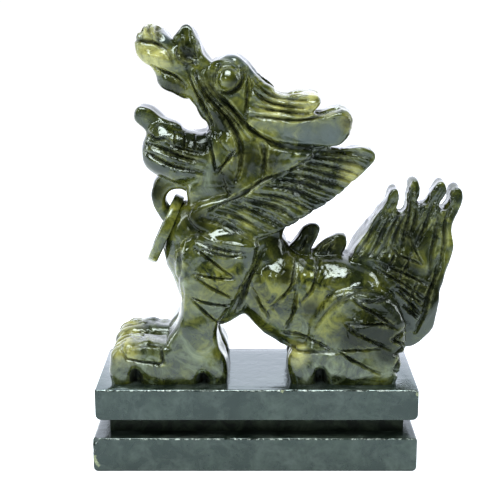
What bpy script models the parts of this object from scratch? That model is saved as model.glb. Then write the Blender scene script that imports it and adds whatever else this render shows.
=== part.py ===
# Jade qilin statuette: one block of stone carved as a qilin on a two-tier base, with a loose ring
# hanging in the loop under its chin. Metres, +Z up, origin at the centre of the base's underside.
# The qilin faces -X, and its left flank faces -Y.
import math

import bmesh
import bpy
import numpy as np
from mathutils import Matrix

# Two-tier base
BASE_WIDTH = 0.132
BASE_DEPTH = 0.053
LOWER_SLAB_HEIGHT = 0.0146
WAIST_HEIGHT = 0.0079
UPPER_SLAB_HEIGHT = 0.0132
WAIST_INSET = 0.0085
WAIST_END_INSET = 0.005
LOWER_SLAB_OVERHANG = 0.0014
SLAB_EDGE = 0.0006
SLAB_OVERLAP = 0.001
UPPER_SLAB_TOP_ROUND = 0.0008
UPPER_SLAB_BOTTOM_ROUND = 0.0024
LOWER_SLAB_TOP_ROUND = 0.0015
LOWER_SLAB_BOTTOM_ROUND = 0.002
ROUND_STEPS = 4

# Figure: its outlines and cuts are in figure units, 145 to its height, from the base's top
FIGURE_HEIGHT = 0.145
UNITS_TO_HEIGHT = 145
UNIT = FIGURE_HEIGHT / UNITS_TO_HEIGHT
FIGURE_FOOT = LOWER_SLAB_HEIGHT + WAIST_HEIGHT + UPPER_SLAB_HEIGHT

# Loose ring, and how freely it moves in the loop under the chin
RING_DIAMETER = 0.0305
RING_WIDTH = 0.0038
RING_THICKNESS = 0.0044
RING_EDGE = 0.0008
RING_PLAY = 0.0023
RING_CLEARANCE = 0.0005
RING_TILT = math.radians(24)
RING_STEPS = 56

# Fineness of the carved surface
VOXEL = 0.0009
SMOOTH_FACTOR = 0.5
SMOOTH_ROUNDS = 4
FIGURE_TRIANGLES = 8400
CURVE_STEPS = 5
EDGE_STEPS = 3
BEVEL_STEPS = 2
BALL_STEPS = 32
HOLE_POINTS = 8
WELD = 0.00001

# Share of a cut's run at each end over which it comes up to the surface
RUN_OUT = 0.06

LOOP_CENTRE = (-32.3, 73.6)
LOOP_BORE = (math.hypot(RING_WIDTH, RING_THICKNESS) / 2 + RING_PLAY) / UNIT

# Each form is a slab sawn to an outline in the XZ plane: the distance of its middle from the
# figure's middle plane (0, or a pair on both sides), its half width, the rounding of its edges,
# and its outline.
FORMS = {
    "nose": (0, 10, 4, [(-42.5, 128.5), (-46, 131), (-48, 135), (-47, 141), (-44, 144.5), (-40, 144),
                        (-34, 139.5), (-30, 134), (-24, 130), (-30, 126)]),
    "nose_horn": (0, 8, 1.8, [(-33, 131), (-32, 138), (-30.5, 142.5), (-28, 145), (-25.5, 143.5),
                              (-23, 139), (-21, 134), (-18, 128), (-26, 126)]),
    "upper_lip": (0, 8.5, 3, [(-41.5, 129.5), (-40, 125), (-39, 121), (-33.5, 118.3), (-26, 116),
                              (-22, 121), (-26, 130), (-34, 132)]),
    "upper_head": (0, 13, 4, [(-36, 130), (-28, 131.5), (-20.5, 129), (-16, 131), (-9, 133),
                              (-5, 131), (1, 123.5), (9, 116), (13.5, 109), (12, 98), (2, 91),
                              (-9, 90), (-18, 95), (-20.5, 101.5), (-19.5, 104.5), (-22.5, 109),
                              (-26.5, 116), (-31, 119)]),
    "jaw": (0, 12.5, 7, [(-42.5, 105), (-38.5, 106.5), (-32.5, 104), (-26, 102), (-19, 102), (-8, 99),
                       (-1, 93), (-1.5, 85), (-7, 80.5), (-15, 79.5), (-27, 80.5), (-37, 83),
                       (-43.5, 87), (-46.5, 93), (-45.5, 100)]),
    "tongue": (0, 5.5, 1.6, [(-48, 112), (-45, 112.5), (-37, 107.5), (-30, 103), (-33, 97), (-42, 98),
                             (-45.5, 103), (-49, 108)]),
    "cheek": (0, 15.5, 4, [(-17.5, 103), (-6, 104), (5, 101.5), (17, 98), (23, 94.5), (15.5, 89),
                           (5, 82), (-3, 77.5), (-11, 78.5), (-14, 85), (-18, 93)]),
    "upper_horn": (0, 12, 2, [(-5, 123), (1, 122), (7.5, 118), (14, 116.8), (20, 117.8), (24.5, 117),
                              (25.7, 115), (24.5, 112.5), (18, 109), (2, 105), (-6, 110)]),
    "lower_horn": (0, 13, 2, [(-5, 111), (5.5, 111), (17, 110), (25, 110.5), (33, 112), (37.5, 110),
                              (38, 105), (35.5, 100), (30, 96.5), (20, 95.5), (8, 97), (-2, 102)]),
    "mane": (0, 19, 2, [(15, 97), (31.5, 95.2), (45.5, 94.8), (48, 92.8), (46, 88.8), (37.2, 80),
                        (27.5, 73), (15, 66), (4, 61.5), (-6.5, 60), (-17, 62), (-25, 66.5),
                        (-27, 71), (-19, 76), (-6, 80), (4, 88)]),
    "neck": (0, 12, 5, [(-28, 82), (-28.3, 72), (-31, 67), (-30, 56), (-7, 49), (9, 54), (11, 62),
                        (18, 74), (17, 94), (-6, 96), (-19, 92)]),
    "chin_loop": (0, 5, 2, [(-40, 84), (-43, 79), (-43, 73), (-41, 68.5), (-37.5, 64.5), (-30, 60),
                            (-23, 62), (-21, 74), (-24, 83), (-32, 86)]),
    "chest": (0, 16.5, 11, [(-27, 74), (-33, 69.5), (-37, 65), (-38.8, 57), (-37.5, 49.5), (-34, 41),
                            (-30, 31), (-18, 22), (-6, 26), (4, 34), (13.5, 52), (5.5, 64), (-11, 70)]),
    "foreleg": (11.5, 8.8, 4, [(-26, 62), (-31.5, 57), (-33.5, 50), (-31.5, 41), (-30.5, 33),
                               (-32.5, 25.5), (-37.5, 16), (-34, 9), (-17, 8.5), (-13.5, 10), (-15, 15),
                               (-16, 23), (-12, 30), (-6, 40), (-1, 52), (0, 60), (-9, 65)]),
    "forepaw": (11.5, 9, 4, [(-37, 17), (-48, 17.5), (-55, 16.5), (-59.5, 13.5), (-60.8, 7), (-60, 0),
                             (-58, -10), (-36, -10), (-14, -10), (-12, 0), (-12.5, 9), (-17, 17), (-25, 22)]),
    "belly": (0, 17.5, 12, [(-8, 30), (-4.5, 25.5), (0, 20.5), (6, 16.5), (13, 12.5), (26, 11),
                           (42, 16), (52, 30), (50, 46), (38, 50.5), (26, 50.5), (12, 52), (0, 56),
                           (-8, 52)]),
    "haunch": (11.5, 9.3, 4, [(28, 36), (35, 39.5), (44.5, 40), (53, 37), (59, 30), (61, 20),
                              (59.5, 9), (57, -1), (55, -10), (38, -10), (20, -10), (17, 3), (20, 15),
                              (22, 26)]),
    "hindpaw": (11.5, 9, 4, [(21, 16.5), (15.5, 14.5), (12.8, 8), (14, 1), (17, -10), (34, -10),
                             (52, -10), (48, 10), (34, 15.5)]),
    "tail": (0, 13, 1, [(38, 50), (47, 65), (52.5, 73), (56.5, 79), (58.4, 76), (58.4, 69),
                        (60.2, 69), (62, 77.6), (64.3, 82.6), (66.6, 79.6), (66, 72.5), (68.8, 72.5),
                        (72, 78.4), (75.5, 81.8), (77.6, 79.4), (75.8, 70.5), (78, 72), (80, 78.6),
                        (82.5, 79.5), (84, 75.5), (82.5, 70), (80, 64), (80.7, 54), (78, 46.5),
                        (74.5, 39), (74, 29), (71, 20), (62, 13.5), (56, 20), (46, 32), (36, 40)]),
    "toe_block": (8, 5.5, 1, [(-53, -1), (-53, 4), (-53, 8), (-35, 8.5), (-18, 8), (-17.5, 4), (-18, -1),
                              (-35, -1)]),
    "heel_block": (8, 5.5, 1, [(19, -1), (18.5, 4), (19, 9), (26, 9.5), (34, 9), (34.5, 4), (34, -1),
                               (26, -1)]),
    "front_fin": (0, 4.5, 1.4, [(13, 50), (17, 59), (20.5, 62.5), (25.5, 62.5), (25.5, 59.5), (23, 54),
                                (20, 46)]),
    "rear_fin": (0, 4.5, 1.4, [(21, 46), (24.5, 53), (30, 58), (35.5, 59.5), (37.5, 57.5), (35.5, 51),
                               (32, 45)]),
}

# Round holes in a form, as centre, half width and half height; under a paw they leave an arch
HOLES = {
    "chin_loop": [(LOOP_CENTRE, LOOP_BORE, LOOP_BORE)],
    "forepaw": [((-49.5, 0.4), 1.5, 5.4), ((-22, 0.2), 1.4, 4.4)],
    "haunch": [((26.2, 0.4), 1.7, 5.2)],
    "hindpaw": [((26.2, 0.4), 1.7, 5.2)],
}

# Forms whose sides draw in towards an end: the axis, where that starts and ends, and the share left
TAPERS = {
    "mane": [("x", -6, 34, 0.4), ("z", 66, 97, 0.65)],
    "nose": [("x", -26, -48, 0.85)],
    "upper_head": [("z", 97, 133, 0.65)],
    "cheek": [("z", 78, 104, 0.8)],
    "jaw": [("z", 88, 106, 0.8)],
    "upper_horn": [("z", 106, 122, 0.75)],
    "lower_horn": [("z", 110, 95, 0.88)],
    "nose_horn": [("z", 131, 145, 0.6)],
    "front_fin": [("z", 52, 62, 0.5)],
    "rear_fin": [("z", 52, 60, 0.5)],
    "tail": [("z", 34, 84, 0.36)],
}

# Rounded lumps on both sides: centre and half sizes
LUMPS = {
    "eyeball": ((-11.2, 9, 124), (3.7, 4.2, 4.1)),
    "brow": ((-11, 8, 126), (6, 3, 2.6)),
    "haunch_muscle": ((45, 12, 24), (15, 10.5, 17)),
    "rib_cage": ((8, 8, 40), (16, 11.5, 15)),
    "shoulder_muscle": ((-19, 11, 45), (12, 10.5, 17)),
}


def between(start, end, share):
    """The point at this share of the way from start to end."""
    return tuple(a + (b - a) * share for a, b in zip(start, end))


def along(corners, share):
    """The point at this share of a line through the corners, each stretch counting the same."""
    place = share * (len(corners) - 1)
    stretch = min(int(place), len(corners) - 2)
    return between(corners[stretch], corners[stretch + 1], place - stretch)


def fan(starts, ends, count):
    """A row of lines from one edge to another, spread evenly."""
    shares = [(i + 0.5) / count for i in range(count)]
    return [[along(starts, share), along(ends, share)] for share in shares]


MANE_FRONT = [(27, 96), (16, 90), (5, 83.5), (-8, 76), (-24, 69)]
MANE_REAR = [(47.5, 93.4), (40, 83), (31, 75.8), (15, 66), (-5, 60)]
TAIL_ROOT = [(43, 52), (60, 54), (76, 54)]
TAIL_TIPS = [(56, 76), (65, 79), (75, 79), (82, 77)]

# Wheel-cut lines: their half width, their depth, how far out from the middle plane they start,
# and each line's points in the XZ plane.
CUTS = {
    "mane_locks": (1.2, 1.4, 4, fan(MANE_FRONT, MANE_REAR, 10)),
    "mane_border": (1.2, 1.8, 7, [[(25.5, 96), (18.5, 90.8), (11.5, 87), (2.6, 84.9), (-4.5, 79),
                                   (-12, 75.5), (-19, 73)]]),
    "nose_slit": (1.3, 2, 2, [[(-47, 139), (-44.6, 138.6), (-40.2, 138), (-35.4, 135.4)]]),
    "nose_horn_hollow": (2, 1.4, 2, [[(-29.4, 135), (-27.1, 132.6), (-25, 133)]]),
    "upper_lip": (1.1, 1.5, 3, [[(-41.5, 128.8), (-36.8, 127.2), (-32, 125.3), (-28.3, 120.9)]]),
    "snout_front": (1.1, 1.4, 5, [[(-26.9, 129.4), (-26.4, 124.2), (-23.3, 116.8), (-19, 109.7),
                                   (-17.2, 105.3)]]),
    "snout_groove": (1.5, 2.3, 5, [[(-23.5, 126.4), (-21, 118.6), (-14.9, 111.6), (-8.8, 104.5),
                                    (-5.8, 98.3), (-6.4, 91.2), (-8.2, 83.8)]]),
    "under_horn": (1.8, 2.5, 5, [[(-19, 126.1), (-18.2, 121.3), (-13.6, 115.7), (-7.9, 110), (-2.7, 104),
                                  (3.5, 99.8), (11.5, 97.4), (26.1, 96), (36, 96.5)]]),
    "eye_back": (1.1, 1.6, 5, [[(-7.4, 128), (-6.6, 124.5), (-8.4, 120.4), (-12.3, 119.4)]]),
    "horn_notch": (1.3, 2.5, 5, [[(-3.9, 122.1), (-3.5, 116.9), (-4.4, 108.4)]]),
    "horn_strands": (1.1, 1.5, 4, [[(-1.9, 124.4), (2.6, 119.2), (9.6, 116), (20.2, 115.7)],
                                   [(-2.2, 120.7), (2.6, 115.7), (9.7, 113.1), (18.6, 113.1)],
                                   [(-0.9, 113.7), (5.3, 111.9), (11.4, 111), (20.2, 110.6)]]),
    "horn_top": (1.3, 1.8, 5, [[(-3, 110), (1.7, 109.3), (10.5, 108), (20.2, 108.4), (27.2, 110.4),
                                (32.8, 112.2)]]),
    "teeth": (0.8, 1.2, 5, [[(-33.1, 103), (-32.7, 97.2)], [(-29.3, 102.6), (-28.7, 96.4)],
                            [(-25.2, 102.4), (-24.7, 95.8)], [(-20.8, 102), (-19.9, 98.3), (-21.3, 94.3)],
                            [(-36.3, 99), (-29.2, 96.3), (-21.3, 94.3)]]),
    "lip_corner": (1.1, 1.4, 5, [[(-44, 102.5), (-39.8, 99.7), (-36.2, 100.5), (-34.1, 98.8)]]),
    "cheek_notch": (1.1, 1.7, 6, [[(-19.4, 103.4), (-18.1, 94.9), (-16, 87)],
                                  [(-16, 87), (-12.4, 92.2), (-8.4, 96.7)]]),
    "jaw_grooves": (1.2, 1.7, 5, [[(-43.8, 98.3), (-37.2, 96.4), (-28.4, 93), (-20.9, 90.7)],
                                  [(-45.2, 94.7), (-34.6, 90.1), (-20.9, 86.7)]]),
    "cheek_groove": (1.4, 1.8, 6, [[(1.9, 98.6), (4, 93.3), (1.9, 85.9)]]),
    "tail_plumes": (1.2, 1.5, 4, fan(TAIL_ROOT, TAIL_TIPS, 7)),
    "tail_across": (0.9, 1.3, 4, [[(48.2, 52.2), (56.1, 48.7), (65, 48.1)],
                                  [(48.3, 48.7), (56.2, 45.8), (66.3, 42.3)],
                                  [(49.4, 47), (57.4, 40), (66, 36.5)], [(56.9, 38.8), (66.6, 34.2)],
                                  [(57.6, 34.7), (65.1, 29.5)]]),
    "tail_down": (0.9, 1.3, 4, [[(55.8, 57.3), (54.3, 52.2), (53.9, 47.6)],
                                [(57.6, 55.6), (61.1, 48.7), (61.7, 46.4)],
                                [(65.9, 55.6), (64, 44.1), (61, 33.6)], [(62.2, 48.7), (59.7, 39.4)]]),
    "tail_border": (1.2, 1.6, 6, [[(77, 57), (72.5, 38.5), (69, 28), (62, 18)]]),
    "foreleg_flames": (1, 1.4, 8, [[(-24.5, 58.2), (-18.2, 52.8), (-8.7, 45.8)],
                                   [(-8.7, 45.2), (-25.5, 47.3)], [(-24.4, 46.2), (-10.5, 36.9)],
                                   [(-11.3, 33.3), (-26.2, 36.9)], [(-25.7, 36.1), (-15, 25.6)]]),
    "collar": (1, 1.2, 8, [[(-24, 60.5), (-14.3, 56.8), (-4.8, 56.2)]]),
    "shoulder_line": (1.5, 2, 8, [[(3, 56.5), (-2.6, 45.2), (-7.1, 32.4), (-8, 29)]]),
    "ribs": (1.2, 1.7, 6, [[(16.4, 52), (14.2, 42.3), (6.7, 32.4)], [(25.3, 51), (23.5, 41.2), (18.2, 35.3)],
                           [(15.7, 39.4), (16, 31.2), (11.5, 23.5)], [(-1.5, 40), (1.3, 33.6), (4.7, 27.9)]]),
    "haunch_line": (1.9, 1.2, 8, [[(44, 41), (38.4, 38.3), (32.3, 35.9), (26.2, 29.5), (22.3, 21.8)]]),
    "haunch_flames": (1, 1.4, 8, [[(38.4, 37.7), (47.4, 35.9), (54.7, 36.9)],
                                  [(39, 37.3), (48.7, 30), (57.3, 24.4)],
                                  [(57.3, 25.1), (47.7, 27.1), (36.4, 27.1)],
                                  [(35.8, 27.1), (44.4, 20.6), (54.2, 15.8)],
                                  [(50.2, 16), (38.8, 15.2), (32, 15.8)],
                                  [(32.6, 15.8), (40.1, 9.8), (50.4, 5.2)]]),
    "haunch_jags": (1.3, 1.9, 8, [[(60.2, 23.5), (55.2, 20), (60.4, 17), (56.5, 13.4), (59.9, 12.2),
                                   (56.7, 6.2), (58.5, 3.2)]]),
    "hind_foot": (1.1, 1.4, 8, [[(10.4, 21.2), (16.1, 21.8), (21.8, 18.8), (32, 14.6)],
                                [(10.4, 17), (13.9, 14.6), (25.2, 14), (32, 14.6)]]),
    "paw_claw": (0.8, 1, 12, [[(-55.3, 15.2), (-53.3, 11.5), (-46.7, 10.1), (-39.6, 9), (-38, 9.6),
                               (-39.3, 15.5), (-44, 16.6), (-49.6, 16.9)]]),
}

# Broad swellings of the flanks: centre in the XZ plane, half width, half height, and how far they rise
SWELLINGS = [(43, 26, 19, 17, 2.6), (-18, 49, 15, 17, 2.2), (9, 44, 10, 14, 1.7), (21, 42, 9, 12, 1.2),
             (8, 30, 8, 9, 1), (-24, 22, 9, 10, 0.9), (-45, 9, 12, 8, 1), (-18, 8, 10, 8, 0.8),
             (40, 7, 20, 9, 1), (58, 44, 12, 14, 1.2), (70, 30, 7, 16, 0.8), (-30, 90, 14, 9, 1.3),
             (-14, 95, 8, 9, 1), (12, 92, 10, 6, 1), (-13, 124, 8, 7, 1.2), (-33, 131, 7, 5, 0.8)]
SWELLING_START = 4
SWELLING_FALL = 1.5

# Creases between the toes: the distance from the middle plane, the X range and the highest Z
TOE_CREASES = [(0, -62, -36, 19), (14, -62, -37, 19), (14, 11, 24, 17)]
TOE_HALF_WIDTH = 1.2
TOE_DEPTH = 2

STONE = (0.075, 0.082, 0.03, 1)
STONE_ROUGHNESS = 0.12


def clear_scene():
    for old in list(bpy.data.objects):
        bpy.data.objects.remove(old, do_unlink=True)


def make_collection(name):
    collection = bpy.data.collections.new(name)
    bpy.context.scene.collection.children.link(collection)
    return collection


def stone_material(name, colour):
    material = bpy.data.materials.new(name)
    material.use_nodes = True
    shader = material.node_tree.nodes["Principled BSDF"]
    shader.inputs["Base Color"].default_value = colour
    shader.inputs["Roughness"].default_value = STONE_ROUGHNESS
    shader.inputs["Metallic"].default_value = 0
    return material


def place(obj, collection):
    collection.objects.link(obj)
    return obj


def baked(obj):
    """The object's mesh with its modifiers applied, in world space. The object is removed."""
    bpy.context.view_layer.update()
    graph = bpy.context.evaluated_depsgraph_get()
    mesh = bpy.data.meshes.new_from_object(obj.evaluated_get(graph), depsgraph=graph)
    mesh.transform(obj.matrix_world)
    bpy.data.objects.remove(obj, do_unlink=True)
    return mesh


def add_spline(curve, points):
    spline = curve.splines.new("BEZIER")
    spline.bezier_points.add(len(points) - 1)
    for handle, (x, z) in zip(spline.bezier_points, points):
        handle.co = (x * UNIT, z * UNIT, 0)
        handle.handle_left_type = handle.handle_right_type = "AUTO"
    spline.use_cyclic_u = True


def ellipse(centre, half_width, half_height):
    """Points on the ellipse, enough for a curve through them with automatic handles."""
    turns = [math.pi * 2 / HOLE_POINTS * step for step in range(HOLE_POINTS)]
    return [(centre[0] + half_width * math.cos(turn), centre[1] + half_height * math.sin(turn))
            for turn in turns]


def slab(name, collection):
    """A form as a closed mesh: its outline with the holes in it, as thick as twice its half width."""
    offset, half_width, edge, outline = FORMS[name]
    curve = bpy.data.curves.new(name, "CURVE")
    curve.dimensions = "2D"
    curve.fill_mode = "BOTH"
    curve.resolution_u = CURVE_STEPS
    curve.extrude = (half_width - edge) * UNIT
    curve.bevel_depth = edge * UNIT
    curve.bevel_resolution = EDGE_STEPS
    curve.offset = -edge * UNIT
    add_spline(curve, outline)
    for centre, hole_width, hole_height in HOLES.get(name, []):
        add_spline(curve, ellipse(centre, hole_width, hole_height))
    obj = place(bpy.data.objects.new(name, curve), collection)
    obj.rotation_euler = (math.pi / 2, 0, 0)
    mesh = baked(obj)
    for taper in TAPERS.get(name, []):
        draw_in(mesh, *taper)
    return mesh


def draw_in(mesh, axis, start, end, share):
    """Narrows the mesh's width evenly from start to end along the axis."""
    index = "xyz".index(axis)
    for vertex in mesh.vertices:
        way = min(max((vertex.co[index] / UNIT - start) / (end - start), 0), 1)
        vertex.co.y *= 1 + (share - 1) * way


def add_mesh(bm, mesh, move=Matrix()):
    """Adds a copy of the mesh, moved, and with its faces turned back out where the move mirrors."""
    copy = mesh.copy()
    copy.transform(move)
    if move.determinant() < 0:
        copy.flip_normals()
    bm.from_mesh(copy)
    bpy.data.meshes.remove(copy)


def ball():
    bm = bmesh.new()
    bmesh.ops.create_uvsphere(bm, u_segments=BALL_STEPS, v_segments=BALL_STEPS // 2, radius=1)
    mesh = bpy.data.meshes.new("ball")
    bm.to_mesh(mesh)
    bm.free()
    return mesh


def rough_figure(collection):
    """Every form and lump of the figure in one mesh, still passing through each other."""
    bm = bmesh.new()
    mirror = Matrix.Diagonal((1, -1, 1, 1))
    for name, (offset, *_) in FORMS.items():
        mesh = slab(name, collection)
        out = Matrix.Translation((0, offset * UNIT, 0))
        add_mesh(bm, mesh, out)
        if offset:
            add_mesh(bm, mesh, mirror @ out)
    lump = ball()
    for centre, half_sizes in LUMPS.values():
        size = Matrix.Diagonal([half * UNIT for half in half_sizes] + [1])
        spot = Matrix.Translation([distance * UNIT for distance in centre])
        add_mesh(bm, lump, spot @ size)
        add_mesh(bm, lump, mirror @ spot @ size)
    bmesh.ops.remove_doubles(bm, verts=bm.verts, dist=WELD)
    mesh = bpy.data.meshes.new("rough_figure")
    bm.to_mesh(mesh)
    bm.free()
    return mesh


def fused(mesh, collection):
    """One smooth skin around everything in the mesh."""
    obj = place(bpy.data.objects.new("fused_figure", mesh), collection)
    remesh = obj.modifiers.new("one skin", "REMESH")
    remesh.mode = "VOXEL"
    remesh.voxel_size = VOXEL
    soften = obj.modifiers.new("soften", "SMOOTH")
    soften.factor = SMOOTH_FACTOR
    soften.iterations = SMOOTH_ROUNDS
    return baked(obj)


def line_reach(x, z, start, end):
    """Each point's distance from the stretch, and its share of the way along it."""
    run = np.subtract(end, start)
    share = ((x - start[0]) * run[0] + (z - start[1]) * run[1]) / max(run @ run, 1e-9)
    share = np.clip(share, 0, 1)
    return np.hypot(x - start[0] - share * run[0], z - start[1] - share * run[1]), share


def cut_depth(x, z, line, half_width, depth):
    """How deep a wheel-cut line goes at each point: a V that runs out at both ends."""
    best = np.zeros(len(x))
    stretches = len(line) - 1
    for index in range(stretches):
        distance, share = line_reach(x, z, line[index], line[index + 1])
        way = (index + share) / stretches
        run_out = np.sqrt(np.sin(np.pi * (RUN_OUT + (1 - 2 * RUN_OUT) * way)))
        best = np.maximum(best, depth * run_out * np.clip(1 - distance / half_width, 0, 1))
    return best


def swollen(x, y, z):
    """How far the broad swellings lift each point, fading out towards the middle plane."""
    height = np.zeros(len(x))
    for centre_x, centre_z, half_width, half_height, rise in SWELLINGS:
        away = ((x - centre_x) / half_width) ** 2 + ((z - centre_z) / half_height) ** 2
        height = np.maximum(height, rise * np.clip(1 - away, 0, 1) ** SWELLING_FALL)
    return height * np.clip(np.abs(y) / SWELLING_START - 1, 0, 1)


def toe_depth(x, y, z):
    """How deep the creases between the toes go at each point."""
    best = np.zeros(len(x))
    for offset, x_from, x_to, z_to in TOE_CREASES:
        inside = (x > x_from) & (x < x_to) & (z < z_to)
        crease = np.clip(1 - np.abs(np.abs(y) - offset) / TOE_HALF_WIDTH, 0, 1)
        best = np.maximum(best, TOE_DEPTH * crease * inside)
    return best


def carve(mesh):
    """Raises the swellings and sinks every cut, along the skin's normals."""
    count = len(mesh.vertices)
    places = np.empty(count * 3)
    mesh.vertices.foreach_get("co", places)
    places = places.reshape(-1, 3)
    normals = np.empty(count * 3)
    mesh.vertex_normals.foreach_get("vector", normals)
    normals = normals.reshape(-1, 3)
    x, y, z = (places / UNIT).T
    depths = toe_depth(x, y, z)
    for half_width, depth, start, lines in CUTS.values():
        outside = np.abs(y) > start
        for line in lines:
            depths = np.maximum(depths, outside * cut_depth(x, z, line, half_width, depth))
    lift = swollen(x, y, z) * np.abs(normals[:, 1]) - depths
    places += normals * lift[:, None] * UNIT
    mesh.vertices.foreach_set("co", places.ravel())
    mesh.update()


def thinned(mesh, triangles, collection):
    """The same form in about this many triangles."""
    mesh.calc_loop_triangles()
    obj = place(bpy.data.objects.new("thinned_figure", mesh), collection)
    thin = obj.modifiers.new("thin out", "DECIMATE")
    thin.ratio = triangles / len(mesh.loop_triangles)
    return baked(obj)


def rounded_corner(x, z, radius, turn):
    """Points round a corner at (x, z) of an upright rectangle, from this quarter turn on."""
    if not radius:
        return [(x, z)]
    way_x = math.copysign(radius, x)
    way_z = math.copysign(radius, z)
    steps = [(turn + step / ROUND_STEPS) * math.pi / 2 for step in range(ROUND_STEPS + 1)]
    return [(x - way_x + radius * math.cos(angle), z - way_z + radius * math.sin(angle))
            for angle in steps]


def block(name, size, centre, rounds, edge, collection):
    """A block whose ends are rounded by rounds (top, bottom) and whose other edges are worn by edge."""
    width, depth, height = size
    top, bottom = rounds
    right = width / 2
    up = height / 2
    profile = (rounded_corner(right, up, top, 0) + rounded_corner(-right, up, top, 1)
               + rounded_corner(-right, -up, bottom, 2) + rounded_corner(right, -up, bottom, 3))
    bm = bmesh.new()
    face = bm.faces.new([bm.verts.new((centre[0] + x, centre[1] - depth / 2, centre[2] + z))
                         for x, z in profile])
    far = bmesh.ops.extrude_face_region(bm, geom=[face])["geom"]
    bmesh.ops.translate(bm, vec=(0, depth, 0), verts=[v for v in far if isinstance(v, bmesh.types.BMVert)])
    bmesh.ops.recalc_face_normals(bm, faces=bm.faces)
    mesh = bpy.data.meshes.new(name)
    bm.to_mesh(mesh)
    bm.free()
    obj = place(bpy.data.objects.new(name, mesh), collection)
    if edge:
        bevel = obj.modifiers.new("worn edge", "BEVEL")
        bevel.width = edge
        bevel.segments = BEVEL_STEPS
    return obj


def base_blocks(cutters):
    """The two slabs and the waist between them, each reaching into its neighbour."""
    lower_width = BASE_WIDTH + LOWER_SLAB_OVERHANG
    waist_size = (BASE_WIDTH - 2 * WAIST_END_INSET, BASE_DEPTH - 2 * WAIST_INSET,
                  WAIST_HEIGHT + 2 * SLAB_OVERLAP)
    waist_middle = LOWER_SLAB_HEIGHT + WAIST_HEIGHT / 2
    upper_middle = FIGURE_FOOT - UPPER_SLAB_HEIGHT / 2
    return [
        block("upper_slab", (BASE_WIDTH, BASE_DEPTH, UPPER_SLAB_HEIGHT), (0, 0, upper_middle),
              (UPPER_SLAB_TOP_ROUND, UPPER_SLAB_BOTTOM_ROUND), SLAB_EDGE, cutters),
        block("waist", waist_size, (0, 0, waist_middle), (0, 0), 0, cutters),
        block("lower_slab", (lower_width, BASE_DEPTH, LOWER_SLAB_HEIGHT),
              (-LOWER_SLAB_OVERHANG / 2, 0, LOWER_SLAB_HEIGHT / 2),
              (LOWER_SLAB_TOP_ROUND, LOWER_SLAB_BOTTOM_ROUND), SLAB_EDGE, cutters),
    ]


def join_or_cut(obj, other, operation):
    boolean = obj.modifiers.new(f"{operation.lower()} {other.name}", "BOOLEAN")
    boolean.operation = operation
    boolean.solver = "EXACT"
    boolean.object = other


def as_guide(obj):
    obj.hide_render = True
    obj.display_type = "WIRE"
    return obj


def ring_mesh(name, grow):
    """A turned ring of rounded square section, lying in its own XY plane, grown by this much all over."""
    half_width = RING_WIDTH / 2 + grow
    half_height = RING_THICKNESS / 2 + grow
    middle = (RING_DIAMETER - RING_WIDTH) / 2
    edge = RING_EDGE
    section = [(half_width - edge, -half_height), (half_width, -half_height + edge),
               (half_width, half_height - edge), (half_width - edge, half_height),
               (edge - half_width, half_height), (-half_width, half_height - edge),
               (-half_width, -half_height + edge), (edge - half_width, -half_height)]
    bm = bmesh.new()
    corners = [bm.verts.new((middle + across, 0, up)) for across, up in section]
    bm.faces.new(corners)
    bmesh.ops.spin(bm, geom=bm.faces[:], cent=(0, 0, 0), axis=(0, 0, 1), angle=2 * math.pi,
                   steps=RING_STEPS, use_merge=True, use_duplicate=False)
    bmesh.ops.delete(bm, geom=[face for face in bm.faces if len(face.verts) > 4], context="FACES_ONLY")
    bmesh.ops.remove_doubles(bm, verts=bm.verts, dist=WELD)
    bmesh.ops.recalc_face_normals(bm, faces=bm.faces)
    mesh = bpy.data.meshes.new(name)
    bm.to_mesh(mesh)
    bm.free()
    return mesh


def ring_object(name, grow, collection):
    """The ring threaded through the loop, hanging down and forward, its edge to the side view."""
    obj = place(bpy.data.objects.new(name, ring_mesh(name, grow)), collection)
    hang = (RING_DIAMETER - RING_WIDTH) / 2
    x = LOOP_CENTRE[0] * UNIT - hang * math.sin(RING_TILT)
    z = FIGURE_FOOT + LOOP_CENTRE[1] * UNIT - hang * math.cos(RING_TILT)
    obj.location = (x, 0, z)
    obj.rotation_euler = (0, math.pi / 2 + RING_TILT, 0)
    return obj


def build():
    clear_scene()
    parts = make_collection("jade_qilin_statuette")
    cutters = make_collection("cutters")
    skin = fused(rough_figure(cutters), cutters)
    carve(skin)
    figure = bpy.data.objects.new("qilin_on_base", thinned(skin, FIGURE_TRIANGLES, cutters))
    figure.data.transform(Matrix.Translation((0, 0, FIGURE_FOOT)))
    place(figure, parts)
    for base_block in base_blocks(cutters):
        join_or_cut(figure, as_guide(base_block), "UNION")
    join_or_cut(figure, as_guide(ring_object("ring_space", RING_CLEARANCE, cutters)), "DIFFERENCE")
    figure.data.materials.append(stone_material("dark_olive_stone", STONE))
    ring = ring_object("mouth_ring", 0, parts)
    ring.data.materials.append(stone_material("ring_stone", STONE))
    ring.data.shade_smooth()


build()
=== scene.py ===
import math

import bmesh
import bpy
import numpy as np
from mathutils import Matrix, Vector


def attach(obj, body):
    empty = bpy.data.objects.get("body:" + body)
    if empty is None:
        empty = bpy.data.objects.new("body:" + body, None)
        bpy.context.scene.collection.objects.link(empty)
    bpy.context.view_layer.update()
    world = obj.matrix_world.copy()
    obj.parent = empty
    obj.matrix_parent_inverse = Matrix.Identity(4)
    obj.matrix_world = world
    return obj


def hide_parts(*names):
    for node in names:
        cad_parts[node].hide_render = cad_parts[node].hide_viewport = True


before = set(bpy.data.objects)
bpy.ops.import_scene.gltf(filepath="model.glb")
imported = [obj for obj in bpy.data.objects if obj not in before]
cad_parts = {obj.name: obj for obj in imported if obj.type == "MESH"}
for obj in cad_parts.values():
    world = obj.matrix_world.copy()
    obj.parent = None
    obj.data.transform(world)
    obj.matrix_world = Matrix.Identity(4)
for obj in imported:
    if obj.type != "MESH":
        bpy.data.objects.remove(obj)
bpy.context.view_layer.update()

# Two-tier base, as in the CAD model
BASE_WIDTH = 0.132
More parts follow.
